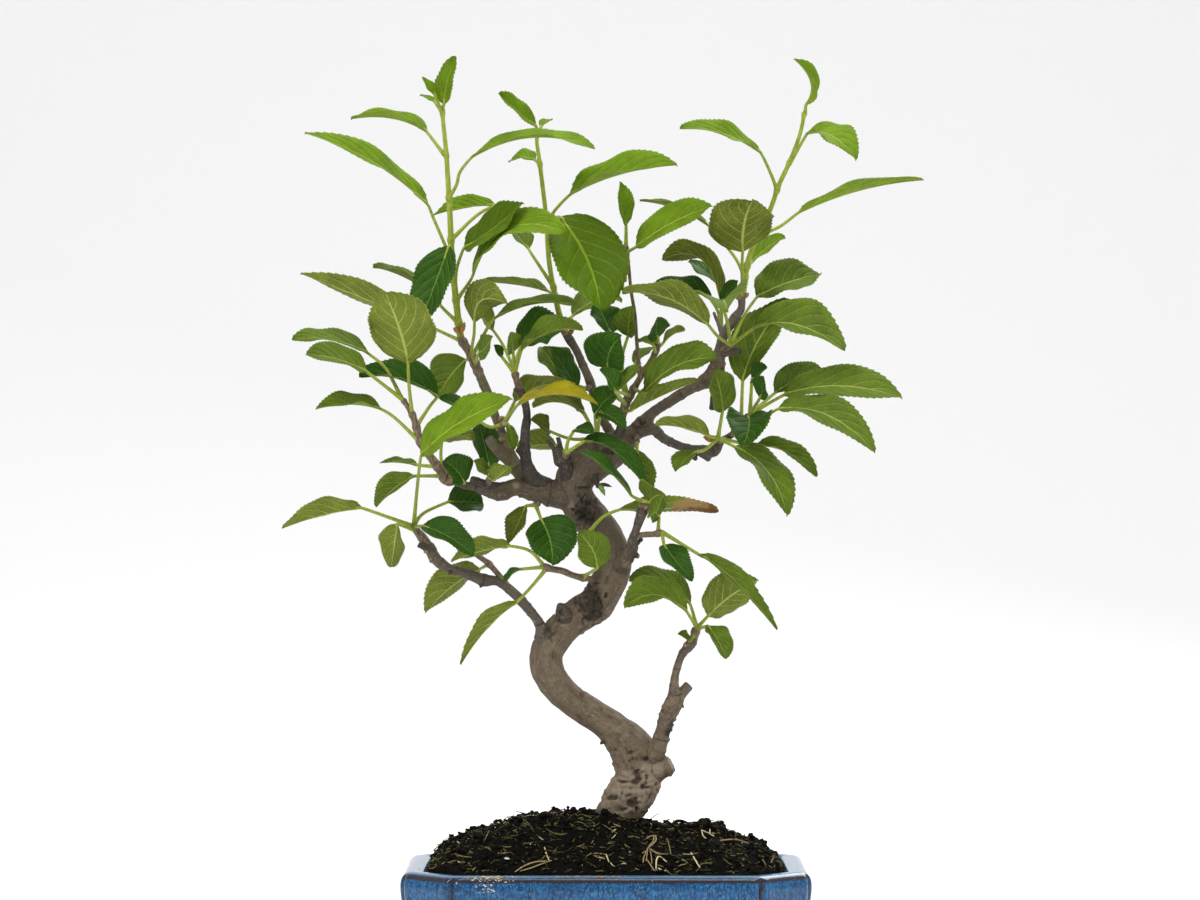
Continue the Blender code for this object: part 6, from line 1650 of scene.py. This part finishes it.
def glazeMaterial():
    # runny blue glaze: deep and bright mottles drawn out down the wall, pale on the flat rim, thin
    # and brown wherever it breaks over an edge, brown as painted shade in the corner grooves, with a thick
    # clear gloss
    made = Nodes("blue glaze")
    spot = made.where()
    streak = made.noise(made.where((1, 1, 0.22)), 560.0, 4.0, 0.6, 0.5)
    fleck = made.noise(made.where((1, 1, 0.55)), 1250.0, 3.0, 0.6)
    cloud = made.noise(spot, 60.0, 3.0, 0.5)
    colour = made.mixed(made.band(streak, 0.36, 0.62), potForm["deep"], potForm["blue"])
    colour = made.mixed(made.band(fleck, 0.46, 0.68, 0.0, 0.85), colour, potForm["bright"])
    colour = made.mixed(made.band(cloud, 0.42, 0.7, 0.0, 0.4), colour, potForm["deep"])
    soft = made.mixed(made.band(fleck, 0.35, 0.7), potForm["pale"], potForm["bright"])
    colour = made.mixed(made.times(made.mark("top"), 0.86), colour, soft)
    thin = made.ragged(streak, 1.5, made.mark("edge"))
    colour = made.mixed(made.band(thin, 0.42, 0.78, 0.0, 0.94), colour, potForm["brown"])
    bare = made.band(made.ragged(cloud, 0.5, made.mark("bare")), 0.4, 0.6)
    clay = made.mixed(made.band(fleck, 0.4, 0.7), potForm["clay"], potForm["brown"])
    colour = made.mixed(bare, colour, clay)
    rough = made.line(bare, 0.6, potForm["rough"])
    normal = made.bump(made.sum("ADD", cloud, streak), 0.0004, 0.35)
    made.join(made.line(bare, -potForm["coat"], potForm["coat"]), made.shader.inputs["Coat Weight"])
    return made.finish(colour, rough, normal, Coat_Roughness=potForm["coatRough"],
                       Specular_IOR_Level=0.2)


def buildPot():
    # the pot and what lies on it become one piece
    materials = [
        glazeMaterial(), grainyMaterial("lime", *deposits["lime"], 0.8),
        grainyMaterial("dry root", *deposits["root"], 0.7), plainMaterial("pinhole", deposits["hole"], 0.6),
    ]
    parts = potParts() + depositParts()
    piece = makePiece("pot_fine", parts, materials, ("edge", "top", "bare"), weld=True)
    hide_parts("pot")
    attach(piece, "root")
    print(f"pot: {sum(len(part['faces']) for part in parts)} faces")


def wallDepth(height):
    # how far forward the front wall stands at a height
    heights, insets, _ = zip(*potForm["wall"][:16])     # the outside, up to the rim
    return potForm["width"] / 2 - np.interp(height, heights, insets)


deposits = {
    "lime": ((0.30, 0.24, 0.15), (0.62, 0.54, 0.38)),
    "root": ((0.17, 0.11, 0.05), (0.42, 0.31, 0.16)),
    "hole": (0.006, 0.005, 0.005),
    "patches": [(90, 490, 13, 878, 1.8), (26, 487, 7, 886, 4.5)],    # count, pixels and their spread
    "single": ([787.5, 638, 652], [893, 884, 881], [0.8, 0.4, 0.4]),
    "highest": 0.0597,
    "roots": ((556, 580, 0.6), (574, 603, 0.9), (583, 616, 0.5), (596, 612, 1.2), (612, 626, 0.7),
              (499, 512, 0.8)),    # from and to in pixels, and how much it waves
    "rootRadius": 0.30 * mm,
    "pinhole": (-0.0935, -0.030, 0.0601),
}


def depositParts():
    # lime crumbs on the front wall's left end, root bits along the rim, and one pinhole, a near-black lump
    # painted as the shade in the hole
    draw = np.random.default_rng(31)
    patches, single = deposits["patches"], deposits["single"]
    x = np.concatenate([draw.normal(x, spread, count) for count, x, spread, _, _ in patches]
                       + [single[0]])
    y = np.concatenate([draw.normal(y, spread, count) for count, _, _, y, spread in patches]
                       + [single[1]])
    flat = place(x, y, -72)
    height = np.minimum(flat[:, 2], deposits["highest"])
    chamfered = np.maximum(0, np.abs(flat[:, 0]) - (potForm["length"] / 2 - potForm["chamfer"]))
    centre = np.column_stack([flat[:, 0], -wallDepth(height) + chamfered, height])
    many = sum(patch[0] for patch in patches)
    size = np.concatenate([draw.gamma(3, 0.16, many) + 0.15, single[2]]) * mm
    parts = [lumpPart(centre, size, draw, 1, flatten=0.5)]
    for x0, x1, wave in deposits["roots"]:
        u = np.linspace(0, 1, 16)
        line = place(x0 + (x1 - x0) * u, 875 + 0 * u, -68)
        line[:, 2] = 0.0600 - 0.0004 * np.abs(np.sin(u * 7 + x0))
        line[:, 1] = -0.0690 + 0.0012 * wave * np.sin(u * 5 + x1)
        parts.append(tubePart(line, deposits["rootRadius"] * (1.1 - u * 0.6), 6, 2))
    # painted shade: a near-black flat lump stands for the dark of the pinhole
    hole = np.array([deposits["pinhole"]])
    parts.append(lumpPart(hole, np.array([0.4 * mm]), draw, 3, flatten=0.2))
    return parts


def lumpPart(centres, sizes, draw, tone, flatten=0.8):
    # many small uneven lumps: one twenty-sided shape, turned and pushed about for each
    gold = (1 + math.sqrt(5)) / 2
    shape = unit(np.array([
        (-1, gold, 0), (1, gold, 0), (-1, -gold, 0), (1, -gold, 0), (0, -1, gold), (0, 1, gold),
        (0, -1, -gold), (0, 1, -gold), (gold, 0, -1), (gold, 0, 1), (-gold, 0, -1), (-gold, 0, 1),
    ], float))
    sides = np.array([
        (0, 11, 5), (0, 5, 1), (0, 1, 7), (0, 7, 10), (0, 10, 11), (1, 5, 9), (5, 11, 4),
        (11, 10, 2), (10, 7, 6), (7, 1, 8), (3, 9, 4), (3, 4, 2), (3, 2, 6), (3, 6, 8), (3, 8, 9),
        (4, 9, 5), (2, 4, 11), (6, 2, 10), (8, 6, 7), (9, 8, 1),
    ])
    count = len(centres)
    first = unit(draw.normal(size=(count, 3)))
    second = unit(np.cross(first, draw.normal(size=(count, 3))))
    turn = np.stack([first, second, np.cross(first, second)], 1)
    body = shape[None] * draw.uniform(0.68, 1.15, (count, 12, 1)) * draw.uniform(0.55, 1.2, (count, 1, 3))
    body = np.einsum("nij,njk->nik", body, turn) * np.array([1, 1, flatten])
    points = centres[:, None] + body * sizes[:, None, None]
    faces = (np.arange(count)[:, None, None] * 12 + sides[None]).reshape(-1, 3)
    return {"points": points.reshape(-1, 3), "faces": faces[:, [0, 1, 2, 2]], "tone": tone}


soilForm = {
    "edge": 0.0592,
    "endRun": 0.009,
    "inner": (0.090, 0.061),    # half length and half width inside the rim
    "ridge": [(420, 856), (440, 846), (470, 833), (505, 822), (530, 815), (580, 810), (617, 811),
              (645, 822), (690, 826), (706, 820), (730, 832), (752, 841), (790, 856)],
    "clods": 1.6 * mm,
    "crumbs": 2500,
    "fibres": 2300,
    "peat": ((0.0012, 0.0012, 0.0009), (0.0065, 0.0058, 0.0042)),
    "crumb": ((0.0016, 0.0015, 0.0011), (0.0105, 0.0088, 0.0060)),
    "moss": ((0.018, 0.022, 0.006), (0.105, 0.105, 0.034)),
    "dryMoss": ((0.05, 0.042, 0.014), (0.26, 0.21, 0.085)),
    "straw": ((0.40, 0.32, 0.14), (0.72, 0.64, 0.40)),
    "root": ((0.19, 0.12, 0.055), (0.44, 0.32, 0.18)),
    "white": ((0.42, 0.40, 0.34), (0.68, 0.65, 0.58)),
    "tones": ("peat", "crumb", "moss", "dryMoss", "straw", "root", "white"),
    "fall": (2.2, 0.7),         # powers of the mound's fall towards the sides and the ends
    "rimFade": 3 * mm,          # the clods die down this near the wall
    "crumbSize": (3.0, 0.32),   # shape and scale of the spread of sizes, in mm
    "crumbLimits": (0.3 * mm, 2.2 * mm),
    "clodSize": (1.4, 3.0),
    "fibreLength": (3.4, 1.35),
    "fibreRadius": (0.15, 0.38),
    "curl": 1.2,
    "rough": (0.92, 0.7),       # of peat and crumbs, and of the rest
    "grain": 900.0,
    "shine": 0.06,
    "lay": ([2, 3, 4, 5, 1], [0.46, 0.30, 0.025, 0.055, 0.16]),    # tones of the fibres, shares
    "grains": [(507, 860, 0.6, 1.3), (630, 853, 0.5, 0.6), (714, 853, 0.5, 0.6)],
    "clodPlaces": [  # pixels of the larger clods that stand on the skyline
        (700, 823), (704, 820), (708, 820), (711, 824), (706, 824), (676, 823), (683, 822), (688, 825),
        (453, 838), (461, 835), (440, 846), (444, 842), (575, 810), (566, 811), (562, 812), (498, 825),
        (520, 818), (655, 824), (662, 825), (740, 836), (752, 843), (762, 849), (605, 811), (634, 815),
        (641, 818), (732, 832), (723, 829), (648, 823), (585, 810), (543, 814),
    ],
    "strands": [  # tone, thickness in mm, lift in mm, pixels
        (4, 0.38, 0.9, [(544.5, 849), (546, 855), (549, 862)]),
        (4, 0.36, 0.9, [(606, 856), (607.5, 860), (609, 864)]),
        (4, 0.40, 1.2, [(691, 855), (695, 862), (700, 870)]),
        (4, 0.34, 0.8, [(701.5, 831.5), (703, 837), (706, 840)]),
        (4, 0.34, 1.0, [(701.5, 832), (706, 834), (710, 836)]),
        (4, 0.34, 1.0, [(710, 831), (710, 836), (714, 838)]),
        (3, 0.30, 0.8, [(628, 838), (634, 838), (640, 840)]),
        (3, 0.32, 0.8, [(586, 858), (592, 855), (602, 855.5), (608, 857)]),
        (4, 0.32, 0.8, [(612, 834), (614, 832), (616, 831)]),
        (3, 0.36, 0.8, [(455, 856), (463, 858), (472, 859)]),
        (3, 0.36, 0.7, [(448, 864), (458, 862), (470, 865)]),
        (5, 0.42, 1.0, [(515, 874), (524, 868), (535, 864), (547, 863)]),
        (5, 0.36, 0.9, [(520, 873), (530, 870), (541, 866), (552, 862)]),
        (3, 0.30, 0.8, [(546, 830), (552, 834), (560, 836), (567, 835)]),
        (3, 0.28, 0.8, [(603, 826), (609, 830), (617, 835)]),
        (4, 0.42, 1.0, [(656, 871), (656.5, 862), (659, 858.5), (663, 861), (667, 864)]),
        (4, 0.34, 1.0, [(658, 870), (662, 872), (668, 873)]),
        (3, 0.36, 0.8, [(652, 853), (659, 855), (668, 856)]),
        (3, 0.34, 0.8, [(676, 864), (683, 862), (688, 865)]),
        (3, 0.30, 0.9, [(667, 840), (669, 847), (671, 856)]),
        (5, 0.36, 1.6, [(646, 842), (650, 839.5), (655, 839), (656, 843), (653, 847), (648, 851)]),
        (5, 0.34, 1.8, [(654, 840), (653, 845), (649, 850), (645, 857)]),
        (5, 0.27, 1.4, [(649, 849), (646, 853), (642, 856)]),
        (5, 0.27, 1.4, [(648, 850), (647, 857), (646, 864)]),
        (5, 0.27, 1.4, [(649, 850), (651, 857), (652, 866)]),
        (5, 0.36, 1.2, [(648, 852), (644, 859), (643, 865)]),
        (5, 0.38, 1.2, [(647, 862), (651, 868), (654, 873)]),
        (5, 0.36, 1.2, [(650, 851), (656, 855), (661, 857)]),
        (5, 0.45, 1.0, [(605, 806), (612, 811), (618, 816)]),
        (1, 0.80, 0.2, [(672, 825), (676, 821.5), (684, 822), (692, 827)]),
        (3, 0.30, 0.8, [(484, 843), (487, 837), (489, 832)]),
        (5, 0.36, 0.8, [(720, 842), (735, 841), (749, 845)]),
        (3, 0.34, 0.8, [(759, 857), (763, 862), (766, 867)]),
        (3, 0.34, 0.8, [(770, 866), (772, 862), (774, 857)]),
    ],
}


def soilHeight(x, y):
    # a ridge that falls to the pot's wall on either side and at both ends, with clods on it
    knots = np.array([place(px, py, 0) for px, py in soilForm["ridge"]])
    ridge = np.interp(x, knots[:, 0], knots[:, 2])
    length, width = soilForm["inner"]
    aside, endwise = soilForm["fall"]
    across = np.clip(1 - (np.abs(y) / width) ** aside, 0, 1)
    ends = np.clip((length - np.abs(x)) / soilForm["endRun"], 0, 1) ** endwise
    swell = 1.1 * mm * np.sin(210 * x + 1.3) * np.sin(260 * y + 0.4)
    flat = np.column_stack([x, y, 0 * x])
    clods = latticeNoise(flat, 6.2 * mm, 21) + 0.7 * latticeNoise(flat, 2.8 * mm, 22)
    clods += 0.35 * latticeNoise(flat, 1.1 * mm, 23) - 0.4
    near = (np.clip((width - np.abs(y)) / soilForm["rimFade"], 0, 1)
            * np.clip((length - np.abs(x)) / soilForm["rimFade"], 0, 1))
    return (soilForm["edge"] + (ridge - soilForm["edge"]) * across * ends
            + swell * (0.3 + 0.7 * near) + soilForm["clods"] * clods * (0.35 + 0.65 * near))


def onSoil(x, y, lift=0.0):
    # where the line of sight through a pixel first meets the soil
    depth = np.linspace(-60, 40, 500)
    line = place(np.full(500, float(x)), np.full(500, float(y)), depth)
    above = line[:, 2] - soilHeight(line[:, 0], line[:, 1])
    hit = np.flatnonzero(above <= 0)
    spot = line[hit[0] if len(hit) else np.argmin(above)]
    return spot + np.array([0, -0.3, 1.0]) * lift * mm


def moundPart():
    # rings from near the middle out to the rim, then a skirt down inside the pot and its bottom
    outline = potOutline(300)
    inner = outline[0] - outline[1] * (potForm["rim"] + 0.0004)
    share = np.linspace(0.004, 1, 108) ** 0.8
    flat = inner[None] * share[:, None, None]
    height = soilHeight(flat[..., 0].ravel(), flat[..., 1].ravel()).reshape(flat.shape[:2])
    height[-1] = np.minimum(height[-1], potForm["height"] - 0.0008)
    skirt = []
    for inset, z in ((0.0115, 0.049), (0.0140, 0.028), (0.0184, 0.0146)):
        ring = outline[0] - outline[1] * (inset + 0.0004)
        skirt.append(np.column_stack([ring, np.full(len(ring), z)]))
    skirt.append(skirt[2] * np.array([0.5, 0.5, 1]))
    part = closedGrid(np.concatenate([atHeights(flat, height), np.array(skirt)]))
    part["faces"] = part["faces"][:, ::-1]
    return part


def scattered(draw, count, inset):
    # random places on the mound inside the rim
    length, width = np.array(soilForm["inner"]) - inset
    x = draw.uniform(-length, length, count * 2)
    y = draw.uniform(-width, width, count * 2)
    inside = np.abs(x) / length + np.abs(y) / width < 1.72     # off the chamfered corners
    return x[inside][:count], y[inside][:count]


def fibrePart(draw):
    # moss and straw: each fibre is a thin bent three-sided rod lying on the clods
    x, y = scattered(draw, soilForm["fibres"], 1.6 * mm)
    count = len(x)
    length = draw.gamma(*soilForm["fibreLength"], (count, 1)) * mm
    heading = draw.uniform(0, 2 * math.pi, (count, 1))
    curl = draw.normal(0, soilForm["curl"], (count, 1))
    steep = draw.normal(0, 0.14, (count, 1)) + (draw.random((count, 1)) < 0.04) * 0.35
    thick = draw.uniform(*soilForm["fibreRadius"], (count, 1)) * mm
    tone = draw.choice(soilForm["lay"][0], count, p=soilForm["lay"][1])
    u = np.linspace(-0.5, 0.5, 5)[None]
    bearing = heading + curl * u
    px = x[:, None] + (np.cumsum(np.cos(bearing), 1) / 5 - 0.6 * np.cos(heading)) * length
    py = y[:, None] + (np.cumsum(np.sin(bearing), 1) / 5 - 0.6 * np.sin(heading)) * length
    halfLength, halfWidth = np.array(soilForm["inner"]) - 1.2 * mm
    px, py = np.clip(px, -halfLength, halfLength), np.clip(py, -halfWidth, halfWidth)
    ground = soilHeight(px.ravel(), py.ravel()).reshape(px.shape)
    pz = 0.4 * ground + 0.6 * ground.mean(1, keepdims=True) + 0.4 * mm + (u + 0.5) * length * steep
    radii = thick * np.array([[0.6, 1, 1, 0.9, 0.35]])
    return rodsPart(np.stack([px, py, pz], 2), radii, 3, tone)


def buildSoil():
    # the mound with its crumbs, fibres, strands, clods and grains, drawn in that order
    draw = np.random.default_rng(57)
    parts = [moundPart()]
    x, y = scattered(draw, soilForm["crumbs"], 1.1 * mm)
    sizes = draw.gamma(*soilForm["crumbSize"], len(x)) * mm
    sizes = np.clip(sizes, *soilForm["crumbLimits"])
    spots = np.column_stack([x, y, soilHeight(x, y) + sizes * 0.35])
    parts.append(lumpPart(spots, sizes, draw, 1))
    parts.append(fibrePart(draw))
    for tone, thick, lift, pixels in soilForm["strands"]:
        knots = [onSoil(px, py, lift) for px, py in pixels]
        path, taper = smoothPath(knots, np.linspace(0, 1, len(knots)), 0.9 * mm)
        radii = thick * mm * (0.55 + 0.45 * np.sin(np.pi * (0.12 + 0.76 * taper[:, 0])))
        parts.append(tubePart(path, radii, 8, tone))
    clods = np.array([onSoil(x, y + 3, 1.0) for x, y in soilForm["clodPlaces"]])
    parts.append(lumpPart(clods, draw.uniform(*soilForm["clodSize"], len(clods)) * mm, draw, 1))
    grains = np.array([onSoil(*grain[:3]) for grain in soilForm["grains"]])
    sizes = np.array([grain[3] for grain in soilForm["grains"]]) * mm
    parts.append(lumpPart(grains, sizes, draw, soilForm["tones"].index("white")))
    materials = [
        grainyMaterial(f"soil {name}", *soilForm[name], soilForm["rough"][name not in ("peat", "crumb")],
                       soilForm["grain"], soilForm["shine"]) for name in soilForm["tones"]
    ]
    piece = makePiece("soil_fine", parts, materials)
    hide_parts("soil")
    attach(piece, "root")
    print(f"soil: {sum(len(part['faces']) for part in parts)} faces")


setCamera()
setStudio()
buildFoliage()
buildWood()
buildSoil()
buildPot()
